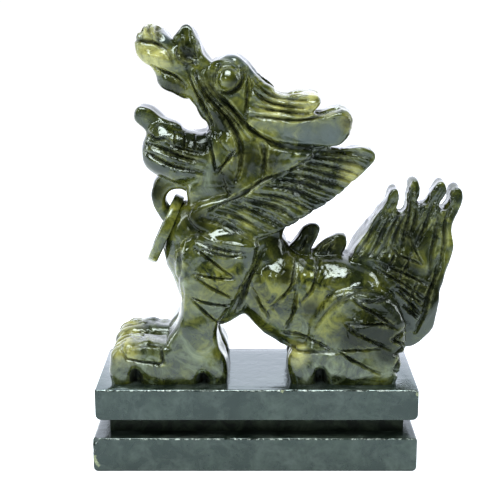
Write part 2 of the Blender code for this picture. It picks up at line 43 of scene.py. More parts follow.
BASE_DEPTH = 0.053
LOWER_SLAB_HEIGHT = 0.0146
WAIST_HEIGHT = 0.0079
UPPER_SLAB_HEIGHT = 0.0132
WAIST_INSET = 0.0085
WAIST_END_INSET = 0.005
WAIST_SLACK = 0.0003
LOWER_SLAB_OVERHANG = 0.0014
SLAB_EDGE = 0.0006
SLAB_OVERLAP = 0.001
UPPER_SLAB_ROUNDS = (0.0008, 0.0024)
LOWER_SLAB_ROUNDS = (0.0015, 0.002)
ROUND_STEPS = 7
EDGE_BEVEL_STEPS = 3
FIGURE_FOOT = LOWER_SLAB_HEIGHT + WAIST_HEIGHT + UPPER_SLAB_HEIGHT

# Chips: rows as height, count and largest radius; at corners as X, side, Z and radius
CHIP_ROWS = [(FIGURE_FOOT, 34, 0.0011), (LOWER_SLAB_HEIGHT, 26, 0.0008), (0, 10, 0.0008)]
CHIP_CORNERS = [(-0.0668, -1, 0.0135, 0.0022), (-0.0676, -1, 0.009, 0.0016),
                (0.0664, -1, FIGURE_FOOT, 0.0014), (0.066, 1, 0, 0.0016)]

# Figure units are millimetres above the base's top. Cuts and spots colour the stone only above
# FOOT_LINE, and cuts deeper than SHALLOW stay out of the painted grey reflection.
UNIT = 0.001
FOOT_LINE = 0.3
SHALLOW = 0.3

# Fineness of the carved surface
VOXEL = 0.00042
SMOOTH_FACTOR = 0.5
SMOOTH_ROUNDS = 5
FIGURE_TRIANGLES = 180000
CURVE_STEPS = 8
EDGE_STEPS = 5
HOLE_POINTS = 8
BALL_STEPS = 64
WELD = 0.00001
SHARP_ANGLE = math.radians(50)

# Loose ring
RING_DIAMETER = 0.0305
RING_WIDTH = 0.0038
RING_THICKNESS = 0.0044
RING_MIDDLE = (RING_DIAMETER - RING_WIDTH) / 2
RING_PLAY = 0.0023
RING_TILT = math.radians(24)
RING_STEPS = 192
RING_SECTION_POINTS = 28
RING_SQUARENESS = 0.42
LOOP_CENTRE = (-32.3, 73.6)
LOOP_BORE = (math.hypot(RING_WIDTH, RING_THICKNESS) / 2 + RING_PLAY) / UNIT

# Stage: the table, the camera (its lens in millimetres), and each soft lamp's place, target,
# width and height, and watts
FLOOR_HALF_WIDTH = 0.9
CAMERA_PLACE = (0, -0.4855, 0.2087)
CAMERA_DIP = math.radians(13.99)
LENS = 86.4
SENSOR_WIDTH = 36
LENS_SHIFT = -0.0134
SOFTBOXES = {
    "key": ((-0.05, -0.27, 0.72), (0, 0, 0.08), (0.42, 0.26), 7),
    "glint": ((-0.3, -0.6, 0.5), (0, 0, 0.1), (0.14, 0.07), 1.1),
    "left_strip": ((-0.62, -0.02, 0.3), (0, 0, 0.1), (0.08, 0.5), 2),
    "right_strip": ((0.6, 0.02, 0.35), (0, 0, 0.1), (0.08, 0.5), 2),
}

# Colours laid over the stone's own
WARM_GREEN = (0.15, 0.16, 0.028, 1)
GOLD = (0.3, 0.3, 0.09, 1)
# Darker stone, and painted shade in hollows and under the mane
DEEP_GREEN_AND_SHADE = (0.003, 0.004, 0.0015, 1)
# Painted reflection: the grey of the pale room mirrored in flat faces
PAINTED_GREY_SHEEN = (0.028, 0.04, 0.04, 1)
SPECK = (0.006, 0.008, 0.003, 1)
# Near black of the cuts, and painted shade in the arches under the paws
CUT_DARK_AND_ARCH_SHADE = (0.002, 0.003, 0.001, 1)
MIST = (0.055, 0.07, 0.06, 1)
# Pale of the slabs' worn edges, with a painted highlight along them
WORN_EDGE_AND_HIGHLIGHT = (0.5, 0.56, 0.5, 1)

# Each form: distance from the middle plane (0, or a pair), half width, edge rounding, XZ outline
FORMS = {
    "nose": (0, 10, 4, [
        (-42.5, 128.5), (-46, 131), (-48, 135), (-47, 141), (-44, 144.5), (-40, 144), (-34, 139.5),
        (-30, 134), (-24, 130), (-30, 126)]),
    "nose_horn": (0, 8, 1.8, [
        (-33, 131), (-32, 138), (-30.5, 142.5), (-28, 145), (-25.5, 143.5), (-23, 139), (-21, 134),
        (-18, 128), (-26, 126)]),
    "upper_lip": (0, 8.5, 3, [
        (-41.5, 129.5), (-40, 125), (-39, 121), (-33.5, 118.3), (-26, 116), (-22, 121), (-26, 130),
        (-34, 132)]),
    "upper_head": (0, 13, 4, [
        (-36, 130), (-28, 131.5), (-20.5, 129), (-16, 131), (-9, 133), (-5, 131), (1, 123.5), (9, 116),
        (13.5, 109), (12, 98), (2, 91), (-9, 90), (-18, 95), (-20.5, 101.5), (-19.5, 104.5), (-22.5, 109),
        (-26.5, 116), (-31, 119)]),
    "jaw": (0, 12.5, 7, [
        (-42.5, 105), (-38.5, 106.5), (-32.5, 104), (-26, 102), (-19, 102), (-8, 99), (-1, 93), (-1.5, 85),
        (-7, 80.5), (-15, 79.5), (-27, 80.5), (-37, 83), (-43.5, 87), (-46.5, 93), (-45.5, 100)]),
    "tongue": (0, 5.5, 1.6, [
        (-48, 112), (-45, 112.5), (-37, 107.5), (-30, 103), (-33, 97), (-42, 98), (-45.5, 103), (-49, 108)]),
    "cheek": (0, 15.5, 4, [
        (-17.5, 103), (-6, 104), (5, 101.5), (17, 98), (23, 94.5), (15.5, 89), (5, 82), (-3, 77.5),
        (-11, 78.5), (-14, 85), (-18, 93)]),
    "upper_horn": (0, 12, 2, [
        (-5, 123), (1, 122), (7.5, 118), (14, 116.8), (20, 117.8), (24.5, 117), (25.7, 115), (24.5, 112.5),
        (18, 109), (2, 105), (-6, 110)]),
    "lower_horn": (0, 13, 2, [
        (-5, 111), (5.5, 111), (17, 110), (25, 110.5), (33, 112), (37.5, 110), (38, 105), (35.5, 100),
        (30, 96.5), (20, 95.5), (8, 97), (-2, 102)]),
    "mane": (0, 19, 2, [
        (15, 97), (31.5, 95.2), (45.5, 94.8), (48, 92.8), (46, 88.8), (37.2, 80), (27.5, 73), (15, 66),
        (4, 61.5), (-6.5, 60), (-17, 62), (-25, 66.5), (-27, 71), (-19, 76), (-6, 80), (4, 88)]),
    "neck": (0, 12, 5, [
        (-28, 82), (-28.3, 72), (-31, 67), (-30, 56), (-7, 49), (9, 54), (11, 62), (18, 74), (17, 94),
        (-6, 96), (-19, 92)]),
    "chin_loop": (0, 5, 2, [
        (-40, 84), (-43, 79), (-43, 73), (-41, 68.5), (-37.5, 64.5), (-30, 60), (-23, 62), (-21, 74),
        (-24, 83), (-32, 86)]),
    "chest": (0, 16.5, 11, [
        (-27, 74), (-33, 69.5), (-37, 65), (-38.8, 57), (-37.5, 49.5), (-34, 41), (-30, 31), (-18, 22),
        (-6, 26), (4, 34), (13.5, 52), (5.5, 64), (-11, 70)]),
    "foreleg": (11.5, 8.8, 4, [
        (-26, 62), (-31.5, 57), (-33.5, 50), (-31.5, 41), (-30.5, 33), (-32.5, 25.5), (-37.5, 16), (-34, 9),
        (-17, 8.5), (-13.5, 10), (-15, 15), (-16, 23), (-12, 30), (-6, 40), (-1, 52), (0, 60), (-9, 65)]),
    "forepaw": (11.5, 9, 4, [
        (-37, 17), (-48, 17.5), (-55, 16.5), (-59.5, 13.5), (-60.8, 7), (-60, 0), (-58, -10), (-36, -10),
        (-14, -10), (-12, 0), (-12.5, 9), (-17, 17), (-25, 22)]),
    "belly": (0, 17.5, 12, [
        (-8, 30), (-4.5, 25.5), (0, 20.5), (6, 16.5), (13, 12.5), (26, 11), (42, 16), (52, 30), (50, 46),
        (38, 50.5), (26, 50.5), (12, 52), (0, 56), (-8, 52)]),
    "haunch": (11.5, 9.3, 4, [
        (28, 36), (35, 39.5), (44.5, 40), (53, 37), (59, 30), (61, 20), (59.5, 9), (57, -1), (55, -10),
        (38, -10), (20, -10), (17, 3), (20, 15), (22, 26)]),
    "hindpaw": (11.5, 9, 4, [
        (21, 16.5), (15.5, 14.5), (12.8, 8), (14, 1), (17, -10), (34, -10), (52, -10), (48, 10), (34, 15.5)]),
    "tail": (0, 13, 1, [
        (38, 50), (47, 65), (52.5, 73), (56.5, 79), (58.4, 76), (58.4, 69), (60.2, 69), (62, 77.6),
        (64.3, 82.6), (66.6, 79.6), (66, 72.5), (68.8, 72.5), (72, 78.4), (75.5, 81.8), (77.6, 79.4),
        (75.8, 70.5), (78, 72), (80, 78.6), (82.5, 79.5), (84, 75.5), (82.5, 70), (80, 64), (80.7, 54),
        (78, 46.5), (74.5, 39), (74, 29), (71, 20), (62, 13.5), (56, 20), (46, 32), (36, 40)]),
    "toe_block": (8, 5.5, 1, [
        (-53, -1), (-53, 4), (-53, 8), (-35, 8.5), (-18, 8), (-17.5, 4), (-18, -1), (-35, -1)]),
    "heel_block": (8, 5.5, 1, [
        (19, -1), (18.5, 4), (19, 9), (26, 9.5), (34, 9), (34.5, 4), (34, -1), (26, -1)]),
    "front_fin": (0, 4.5, 1.4, [
        (13, 50), (17, 59), (20.5, 62.5), (25.5, 62.5), (25.5, 59.5), (23, 54), (20, 46)]),
    "rear_fin": (0, 4.5, 1.4, [
        (21, 46), (24.5, 53), (30, 58), (35.5, 59.5), (37.5, 57.5), (35.5, 51), (32, 45)]),
}
# Round holes in a form, as centre, half width and half height; under a paw they leave an arch
HOLES = {
    "chin_loop": [(LOOP_CENTRE, LOOP_BORE, LOOP_BORE)],
    "forepaw": [((-49.5, 0.4), 1.5, 5.4), ((-22, 0.2), 1.4, 4.4)],
    "haunch": [((26.2, 0.4), 1.7, 5.2)],
    "hindpaw": [((26.2, 0.4), 1.7, 5.2)],
}

# Forms whose sides draw in along an axis (0 X, 2 Z): where that starts and ends, and the share left
TAPERS = {
    "mane": [(0, -6, 34, 0.4), (2, 66, 97, 0.65)],
    "nose": [(0, -26, -48, 0.85)],
    "upper_head": [(2, 97, 133, 0.65)],
    "cheek": [(2, 78, 104, 0.8)],
    "jaw": [(2, 88, 106, 0.8)],
    "upper_horn": [(2, 106, 122, 0.75)],
    "lower_horn": [(2, 110, 95, 0.88)],
    "nose_horn": [(2, 131, 145, 0.6)],
    "front_fin": [(2, 52, 62, 0.5)],
    "rear_fin": [(2, 52, 60, 0.5)],
    "tail": [(2, 34, 84, 0.36)],
}

# Rounded lumps on both sides: centre and half sizes
LUMPS = {
    "eyeball": ((-11.2, 8.8, 124), (4.6, 4.4, 4.7)),
    "brow": ((-11, 8, 126), (6, 3, 2.6)),
    "haunch_muscle": ((45, 12, 24), (15, 10.5, 17)),
    "rib_cage": ((8, 8, 40), (16, 11.5, 15)),
    "shoulder_muscle": ((-19, 11, 45), (12, 10.5, 17)),
}


def between(start, end, share):
    """The point at this share of the way from start to end."""
    return tuple(a + (b - a) * share for a, b in zip(start, end))


def along(corners, share):
    """The point at this share of a line through the corners, each stretch counting the same."""
    place = share * (len(corners) - 1)
    stretch = min(int(place), len(corners) - 2)
    return between(corners[stretch], corners[stretch + 1], place - stretch)


def fan(starts, ends, count, bow=0.0):
    """Lines from one edge to another, spread evenly and bowed sideways by a share of their length."""
    lines = []
    for i in range(count):
        share = (i + 0.5) / count
        a = along(starts, share)
        b = along(ends, share)
        middle = between(a, b, 0.5)
        aside = (-(b[1] - a[1]) * bow, (b[0] - a[0]) * bow)
        lines.append([a, (middle[0] + aside[0], middle[1] + aside[1]), b])
    return lines


MANE_FRONT = [(27, 96), (16, 90), (5, 83.5), (-8, 76), (-24, 69)]
MANE_REAR = [(47.5, 93.4), (40, 83), (31, 75.8), (15, 66), (-5, 60)]
TAIL_ROOT = [(44, 56), (60, 62), (76, 62)]
TAIL_TIPS = [(56, 76), (65, 79), (75, 79), (82, 77)]

# Cut lines: half width, depth, how far out from the middle plane they start, how steep the
# sides are (1 a straight V, more hollows them), and each line's points in the XZ plane
CUTS = {
    "mane_locks": (1.3, 1.7, 4, 1.2, fan(MANE_FRONT, MANE_REAR, 12, 0.05)),
    "mane_strands": (0.6, 0.6, 4, 1, fan(MANE_FRONT, MANE_REAR, 31, 0.05)),
    "mane_border": (1.2, 2, 7, 1, [
        [(25.5, 96), (18.5, 90.8), (11.5, 87), (2.6, 84.9), (-4.5, 79), (-12, 75.5), (-19, 73)]]),
    "nose_slit": (1.3, 2.3, 2, 1, [[(-47, 139), (-44.6, 138.6), (-40.2, 138), (-35.4, 135.4)]]),
    "nose_bumps": (1.1, 1.7, 1, 1, [
        [(-45.6, 145), (-45.6, 142), (-44.8, 140)], [(-42.4, 146), (-42.8, 142.4), (-41.6, 140)],
        [(-39, 145), (-39.6, 142), (-37.5, 139.6)]]),
    "nose_back": (1.1, 1.2, 2, 1, [[(-35.4, 135.4), (-33.3, 132.6), (-32.5, 129.5)]]),
    "nose_horn_hollow": (2.2, 1.7, 2, 0.8, [[(-29.4, 135), (-27.1, 132.6), (-25, 133)]]),
    "nose_horn_foot": (0.8, 1, 2, 1, [[(-32, 135.5), (-30.6, 131.8), (-27.1, 129.6), (-23, 130)]]),
    "upper_lip_top": (1, 1.7, 3, 1, [[(-41.5, 128.8), (-36.8, 127.2), (-32, 125.3), (-28.3, 120.9)]]),
    "snout_front": (0.9, 1.4, 5, 1.2, [
        [(-26.9, 129.4), (-26.4, 124.2), (-23.3, 116.8), (-19, 109.7), (-17.2, 105.3)]]),
    "snout_groove": (1.4, 2.5, 5, 1.2, [
        [(-23.5, 126.4), (-21, 118.6), (-14.9, 111.6), (-8.8, 104.5), (-5.8, 98.3), (-6.4, 91.2),
         (-8.2, 83.8)]]),
    "snout_fine": (0.7, 1, 5, 1, [
        [(-22, 126.9), (-19.7, 119.5), (-14.1, 112.9), (-7.9, 106.8), (-2.7, 100.1)]]),
    "under_horn": (1.7, 2.7, 5, 1.3, [
        [(-19, 126.1), (-18.2, 121.3), (-13.6, 115.7), (-7.9, 110), (-2.7, 104), (3.5, 99.8), (11.5, 97.4),
         (26.1, 96), (36, 96.5)]]),
    "eye_back": (1.2, 2.2, 5, 1, [
        [(-6.2, 128.4), (-5.4, 124.3), (-7.4, 119.8), (-12.3, 118.2), (-16, 119.6)]]),
    "eye_front": (0.9, 1.3, 5, 1, [[(-14.5, 129.2), (-16.9, 125.8), (-16.4, 122.3)]]),
    "eye_wrinkles": (0.7, 1.1, 5, 1, [
        [(-4.6, 128.5), (-3.6, 124.4), (-4.4, 120.7)], [(-3.9, 126.8), (-2.2, 122.4), (-1.9, 118.5)]]),
    "horn_notch": (1.1, 2.6, 5, 1, [[(-3.9, 122.1), (-3.5, 116.9), (-4.4, 108.4)]]),
    "horn_strands": (0.9, 1.6, 4, 1.2, [
        [(-1.9, 124.4), (2.6, 119.2), (9.6, 116), (20.2, 115.7)],
        [(-2.2, 120.7), (2.6, 115.7), (9.7, 113.1), (18.6, 113.1)],
        [(-0.9, 113.7), (5.3, 111.9), (11.4, 111), (20.2, 110.6)]]),
    "horn_top": (1.2, 1.9, 5, 1, [
        [(-3, 110), (1.7, 109.3), (10.5, 108), (20.2, 108.4), (27.2, 110.4), (32.8, 112.2)]]),
    "horn_scratch": (0.4, 0.35, 6, 1, [[(11, 102), (17, 100)], [(13, 102), (16, 101)]]),
    "teeth": (0.5, 1.1, 5, 1, [
        [(-33.1, 103), (-32.7, 97.2)], [(-29.3, 102.6), (-28.7, 96.4)], [(-25.2, 102.4), (-24.7, 95.8)],
        [(-20.8, 102), (-19.9, 98.3), (-21.3, 94.3)], [(-36.3, 99), (-29.2, 96.3), (-21.3, 94.3)]]),
    "lip_corner": (0.9, 1.5, 5, 1, [
        [(-44, 102.5), (-42.8, 101.9), (-39.8, 99.7), (-36.2, 100.5), (-34.1, 98.8)]]),
    "cheek_notch": (0.9, 1.8, 6, 1, [
        [(-19.4, 103.4), (-18.1, 94.9), (-16, 87)], [(-16, 87), (-12.4, 92.2), (-8.4, 96.7)]]),
    "cheek_facet": (0.5, 0.6, 6, 1, [[(-16.6, 103.8), (-12.4, 95.8), (-8.8, 96.7)]]),
    "jaw_grooves": (1.1, 1.8, 5, 1.2, [
        [(-43.8, 98.3), (-37.2, 96.4), (-28.4, 93), (-20.9, 90.7)],
        [(-45.2, 94.7), (-34.6, 90.1), (-20.9, 86.7)]]),
    "jaw_scratches": (0.4, 0.4, 5, 1, [
        [(-43, 97), (-36, 94.8), (-29, 91.2)], [(-42, 93), (-36, 89), (-30, 87.4)],
        [(-20, 81.5), (-12, 81.2), (-6, 82)]]),
    "cheek_groove": (1.3, 1.9, 6, 1, [[(1.9, 98.6), (4, 93.3), (1.9, 85.9)]]),
    "tail_plumes": (1.3, 1.7, 3, 1.1, [
        [(41.9, 53), (46.2, 60.6), (51.3, 68.9)], [(46.4, 52.2), (51.5, 61.4), (55.4, 69.8)],
        [(49.3, 51.7), (54.4, 61.4), (58.2, 68.9), (59.8, 71.8)], [(53.8, 53), (57.6, 62.3), (61, 71)],
        [(58.7, 53), (60.9, 62.3), (62.2, 70.6), (63.2, 78.9)], [(62.6, 59.8), (64.4, 65.6), (65.4, 73.9)],
        [(65.5, 56.4), (68.9, 64.8), (72.6, 74.7)], [(70.5, 43.7), (71.8, 53.9), (73.1, 63.1), (75.2, 70.6)],
        [(75.2, 47.9), (76.6, 56.4), (76.3, 64.8), (79.5, 73)]]),
    "tail_curls": (0.9, 1.4, 3, 1, [
        [(63.1, 60.2), (64.5, 54.4), (67.5, 49.3)], [(54.2, 57.7), (56.4, 53.5), (59.3, 51)]]),
    "tail_strands": (0.6, 0.6, 3, 1, fan(TAIL_ROOT, TAIL_TIPS, 19)),
    "tail_across": (0.85, 1.5, 4, 1, [
        [(55.5, 53.4), (60.8, 50.8), (67.4, 48.7)], [(49, 50.2), (58.6, 45.3), (65.2, 42.8), (70.2, 40.5)],
        [(48.7, 47), (56.2, 42.8), (62, 39.8), (68.7, 35.6)], [(57.5, 39.8), (62.9, 36.4), (67.8, 32.6)],
        [(57.5, 37.9), (62.2, 33.4), (67.1, 27.8)], [(59.8, 32), (63.1, 29.1), (66.1, 26.4)]]),
    "tail_down": (0.85, 1.4, 4, 1, [
        [(56.5, 53.8), (55.3, 50.4), (53.5, 46.4)], [(63.1, 52.5), (61.3, 47.9), (58.5, 42.4)],
        [(66.4, 42.4), (64.1, 37.7), (61.8, 31.7)]]),
    "tail_border": (1.2, 1.8, 5, 1, [[(75, 52), (72.9, 43.7), (69.6, 33.4), (65.9, 20.5)]]),
    "fin_lines": (0.8, 1.1, 1.5, 1, [
        [(24.5, 52), (27.5, 56), (32, 58)], [(29, 52), (31.5, 56)], [(18, 53), (20.5, 58.5)]]),
    "foreleg_flames": (0.8, 1.5, 8, 1, [
        [(-24.5, 58.2), (-18.2, 52.8), (-8.7, 45.8)], [(-8.7, 45.2), (-25.5, 47.3)],
        [(-24.4, 46.2), (-10.5, 36.9)], [(-11.3, 33.3), (-26.2, 36.9)], [(-25.7, 36.1), (-15, 25.6)]]),
    "shoulder_front": (1.2, 1, 8, 1.3, [[(-31.5, 60.5), (-31, 51.5), (-32, 43)]]),
    "shoulder_line": (1.4, 2.2, 8, 1.3, [[(3, 56.5), (-2.6, 45.2), (-7.1, 32.4), (-8, 29)]]),
    "shoulder_second": (0.7, 0.9, 8, 1, [[(-3.7, 47), (-7.7, 33.6)]]),
    "collar_lines": (0.9, 1.3, 8, 1, [
        [(-24, 60.5), (-14.3, 56.8), (-4.8, 56.2)], [(-22, 57.5), (-13, 54.6), (-5, 54.8)]]),
    "ribs": (1.0, 1.8, 6, 1, [
        [(16.4, 52), (14.2, 42.3), (6.7, 32.4)], [(25.3, 51), (23.5, 41.2), (18.2, 35.3)],
        [(15.7, 39.4), (16, 31.2), (11.5, 23.5)], [(-1.5, 40), (1.3, 33.6), (4.7, 27.9)]]),
    "haunch_line": (1.9, 1.2, 8, 1.4, [[(44, 41), (38.4, 38.3), (32.3, 35.9), (26.2, 29.5), (22.3, 21.8)]]),
    "haunch_flames": (0.8, 1.5, 8, 1, [
        [(38.4, 37.7), (47.4, 35.9), (54.7, 36.9)], [(39, 37.3), (48.7, 30), (57.3, 24.4)],
        [(57.3, 25.1), (47.7, 27.1), (36.4, 27.1)], [(35.8, 27.1), (44.4, 20.6), (54.2, 15.8)],
        [(50.2, 16), (38.8, 15.2), (32, 15.8)], [(32.6, 15.8), (40.1, 9.8), (50.4, 5.2)]]),
    "haunch_jags": (1.2, 2, 8, 1, [
        [(60.2, 23.5), (55.2, 20), (60.4, 17), (56.5, 13.4), (59.9, 12.2), (56.7, 6.2), (58.5, 3.2)]]),
    "hind_foot": (1, 1.5, 8, 1.2, [
        [(10.4, 21.2), (16.1, 21.8), (21.8, 18.8), (32, 14.6)],
        [(10.4, 17), (13.9, 14.6), (25.2, 14), (32, 14.6)]]),
    "paw_claw": (0.9, 1.5, 12, 1, [
        [(-55.3, 15.2), (-53.3, 11.5), (-46.7, 10.1), (-39.6, 9), (-38, 9.6), (-39.3, 15.5), (-44, 16.6),
         (-49.6, 16.9)]]),
}

# Cuts that keep their sharp corners
ANGULAR = ("haunch_jags", "paw_claw")

# How a cut runs out at its ends, how its width and course waver, where its rim stands in half
# widths, how far it rises, and from what depth a cut is darkened to the full
RUN_OUT = 0.05
WAVER = 0.18
WAVES = 9
WANDER = 0.25
RIM_PLACE = 1.15
RIM_WIDTH = 0.22
RIM_RISE = 0.16
FULL_DEPTH = 1.4

# Raised bands: half width, height, how far out from the middle plane they start, and their lines
RIDGES = {
    "snout_bands": (1.9, 1.1, 4, [
        [(-25, 127.5), (-23.6, 121), (-19, 114), (-14, 107.5), (-11.5, 101.5)],
        [(-20.5, 127), (-18.8, 120.4), (-13.9, 114.3), (-8, 108.4), (-2.8, 102)]]),
    "nose_lower_lobe": (3.4, 1.3, 1, [[(-45.5, 133.8), (-40, 133), (-36, 131.5)]]),
    "nose_upper_lobe": (2.2, 0.9, 1, [[(-44, 141.8), (-39, 140.8)]]),
    "nose_horn_rims": (1.4, 1.5, 1, [
        [(-32, 134), (-31.6, 139), (-29, 143.6)], [(-26, 143), (-24.4, 138), (-23.6, 133)],
        [(-29.1, 141), (-28.3, 136)]]),
    "brow_top": (1.2, 0.9, 4, [[(-18.4, 129.3), (-14.9, 130.8), (-8.8, 130), (-6.1, 127)]]),
    "horn_strands": (1.2, 1, 4, [
        [(-3.5, 128.5), (1.7, 122), (7.9, 118.1), (16.7, 116.9), (24.1, 116.8)],
        [(-1.8, 122.4), (3.5, 117.2), (10.5, 114.3), (19.3, 114.3), (24.2, 114.8)],
        [(-1.3, 118.1), (3.5, 113.7), (10.5, 111.9), (18.5, 111.9)]]),
    "horn_tip_rim": (1.4, 0.9, 5, [[(22, 108), (28, 109), (35, 110.6), (37, 106), (34.5, 101)]]),
    "upper_lip": (2.4, 1, 3, [[(-37.5, 124.6), (-31, 121.2)]]),
    "lip_edge": (1.1, 0.7, 5, [[(-39, 107), (-33, 104.6), (-26, 103.6), (-20, 103.4)]]),
    "jaw_bands": (1.3, 0.8, 5, [[(-43.5, 96.4), (-35.5, 93.2), (-25, 90.2)]]),
    "cheek_bands": (1.8, 1, 6, [[(-10.5, 103), (-8.6, 95), (-10, 88)], [(-1.8, 99), (-2.2, 92), (-4.5, 85)]]),
    "cheek_rear": (1.5, 0.7, 7, [[(6.5, 97.5), (8, 92), (6, 87.5)]]),
    "collar": (1.5, 1.1, 8, [[(-24.2, 63.5), (-17.6, 60.6), (-6.5, 58.6), (0.8, 57.8)]]),
    "leg_front": (1.9, 0.9, 8, [[(-28.5, 60), (-29, 50), (-28, 40), (-28.5, 30), (-34, 19)]]),
    "heel": (1.6, 0.7, 9, [[(16, 17.5), (22, 16.6), (29, 13), (36, 13)]]),
    "knuckles": (2, 0.9, 12, [[(-56, 16.5), (-50, 18.5)], [(-47, 18.5), (-42, 18)]]),
    "tail_band": (1.8, 0.8, 5, [[(79, 56), (75.5, 42), (72, 30), (66, 19)]]),
}

# Swellings of the flanks: X, Z, half width, half height and how far they rise
SWELLINGS = [
    (43, 26, 19, 17, 2.6), (-18, 49, 15, 17, 2.2), (9, 44, 10, 14, 1.7), (21, 42, 9, 12, 1.2),
    (8, 30, 8, 9, 1), (-24, 22, 9, 10, 0.9), (-45, 9, 12, 8, 1), (-18, 8, 10, 8, 0.8), (40, 7, 20, 9, 1),
    (58, 44, 12, 14, 1.2), (70, 30, 7, 16, 0.8), (-30, 90, 14, 9, 1.3), (-14, 95, 8, 9, 1),
    (12, 92, 10, 6, 1), (-13, 124, 8, 7, 1.2), (-33, 131, 7, 5, 0.8)]
SWELLING_START = 4
SWELLING_FALL = 1.5

# Small bumps on top of them, and facets that catch the light
BUMPS = [
    (-24, 121, 3.5, 5, 1.3), (-17, 112, 3.5, 5, 1.2), (10, 95.5, 8, 3, 1.3), (17, 94, 5, 2.5, 1),
    (-11, 99, 3.5, 5, 1), (44, 38, 11, 5, 1.5), (-34, 100, 9, 3.5, 0.8), (-1, 44, 4, 9, 0.7)]

# Soft spots in the XZ plane, as X, Z and radius: paler and golden stone, and darker places,
# these darker stone in part and painted shade in part, in the nose horn's hollow, under the
# mane and between chin and mane
PALE = [
    (-45, 6, 11), (-24, 12, 12), (-33, 42, 7), (-16, 30, 8), (30, 8, 12), (50, 6, 10), (22, 24, 7),
    (-24, 84, 7), (12, 40, 6)]
GOLDEN = [
    (-44, 133, 6), (-40, 132, 5), (-42, 141, 4), (20, 115, 6), (8, 113.5, 5), (-54, 14, 5), (17, 13, 4),
    (38, 85, 4), (36, 107, 3)]
# Painted shade in part: the nose horn's hollow, under the mane, between chin and mane
DARK_AND_SHADE_SPOTS = [
    (12, 58, 8), (20, 58, 6), (30, 54, 6), (-24, 68, 6), (-42, 78, 5), (49, 26, 12), (40, 22, 8),
    (60, 46, 9), (70, 38, 8), (-3, 92, 7), (-22, 98, 5), (-27, 133, 4), (-28, 96, 6), (-20, 118, 5),
    (4, 92, 6), (-14, 108, 7), (-33, 120, 5), (-12, 84, 6), (12, 46, 4), (22, 32, 4), (52, 14, 6),
    (52, 22, 8), (64, 60, 7), (-8.6, 122.2, 3), (36, 107, 3), (-28, 136, 3)]
# Less polished places of a warmer green
WARM = [(6, 38, 8), (16, 38, 9), (24, 36, 8), (-14, 44, 7), (30, 26, 6)]
# Grey places, a painted reflection of the pale room: the horn's flat side, the brow, a nose facet
GREY_SHEEN_SPOTS = [
    (12, 101, 4), (20, 101, 5), (29, 102, 5), (-10, 133, 3), (-5, 131, 2.6), (-1, 127, 2.2),
    (-36.5, 140.5, 2.8)]
# Where the flank is ground flat
FLAT = [(12, 102, 7), (20, 102, 8), (30, 103, 8)]
# Where it is more uneven
UNEVEN = [(-10, 50, 7), (36, 20, 9)]
# Where small ripples break up the shine
RIPPLED = [
    (-22, 120, 8), (-14, 108, 8), (6, 96, 8), (16, 92, 6), (-34, 96, 7), (-10, 88, 6), (60, 70, 9),
    (10, 38, 12), (24, 42, 10), (-26, 56, 7), (-28, 90, 8), (52, 36, 8), (44, 30, 8), (-46, 14, 6),
    (40, 107, 8), (-2, 122, 6)]

# Arches under the paws, darkened with painted shade: X, Z, half width and half height, and how
# far out they reach
SHADED_ARCHES = [(-49.5, 2.4, 2.9, 5.2), (-22, 1.8, 2.7, 4.6), (26.2, 2.2, 3.2, 5)]
SHADED_ARCH_REACH = 20

# Creases between the toes: distance from the middle plane, X range and highest Z
TOE_CREASES = [
    (0, -62, -36, 19), (14.5, -62, -50, 17), (8.5, -62, -47, 19), (14, 11, 17, 14), (8.5, 11, 18, 17)]
TOE_HALF_WIDTH = 1.1
TOE_DEPTH = 1.5


def baked(obj):
    """The object's mesh with its modifiers applied, in world space. The object is removed."""
    bpy.context.view_layer.update()
    graph = bpy.context.evaluated_depsgraph_get()
    mesh = bpy.data.meshes.new_from_object(obj.evaluated_get(graph), depsgraph=graph)
    mesh.transform(obj.matrix_world)
    bpy.data.objects.remove(obj, do_unlink=True)
    return mesh


def linked(name, data):
    obj = bpy.data.objects.new(name, data)
    bpy.context.scene.collection.objects.link(obj)
    return obj


def add_spline(curve, points):
    spline = curve.splines.new("BEZIER")
    spline.bezier_points.add(len(points) - 1)
    for handle, (x, z) in zip(spline.bezier_points, points):
        handle.co = (x * UNIT, z * UNIT, 0)
        handle.handle_left_type = handle.handle_right_type = "AUTO"
    spline.use_cyclic_u = True


def ellipse(centre, half_width, half_height):
    """Points on the ellipse, enough for a curve through them."""
    turns = [2 * math.pi * step / HOLE_POINTS for step in range(HOLE_POINTS)]
    return [(centre[0] + half_width * math.cos(turn), centre[1] + half_height * math.sin(turn))
            for turn in turns]


def slab(name):
    """A form as a mesh: its outline with the holes in it, as thick as twice its half width."""
    _, half_width, edge, outline = FORMS[name]
    curve = bpy.data.curves.new(name, "CURVE")
    curve.dimensions = "2D"
    curve.fill_mode = "BOTH"
    curve.resolution_u = CURVE_STEPS
    curve.extrude = (half_width - edge) * UNIT
    curve.bevel_depth = edge * UNIT
    curve.bevel_resolution = EDGE_STEPS
    curve.offset = -edge * UNIT
    add_spline(curve, outline)
    for centre, hole_width, hole_height in HOLES.get(name, []):
        add_spline(curve, ellipse(centre, hole_width, hole_height))
    obj = linked(name, curve)
    obj.rotation_euler = (math.pi / 2, 0, 0)
    mesh = baked(obj)
    for axis, start, end, share in TAPERS.get(name, []):
        for vertex in mesh.vertices:
            way = min(max((vertex.co[axis] / UNIT - start) / (end - start), 0), 1)
            vertex.co.y *= 1 + (share - 1) * way
    return mesh


def add_mesh(bm, mesh, move):
    """Adds a copy of the mesh, moved, and with its faces turned back out where the move mirrors."""
    copy = mesh.copy()
    copy.transform(move)
    if move.determinant() < 0:
        copy.flip_normals()
    bm.from_mesh(copy)
    bpy.data.meshes.remove(copy)


def mesh_from(bm, name):
    mesh = bpy.data.meshes.new(name)
    bm.to_mesh(mesh)
    bm.free()
    return mesh


def ball():
    """A ball of radius 1."""
    bm = bmesh.new()
    bmesh.ops.create_uvsphere(bm, u_segments=BALL_STEPS, v_segments=BALL_STEPS // 2, radius=1)
    return mesh_from(bm, "ball")


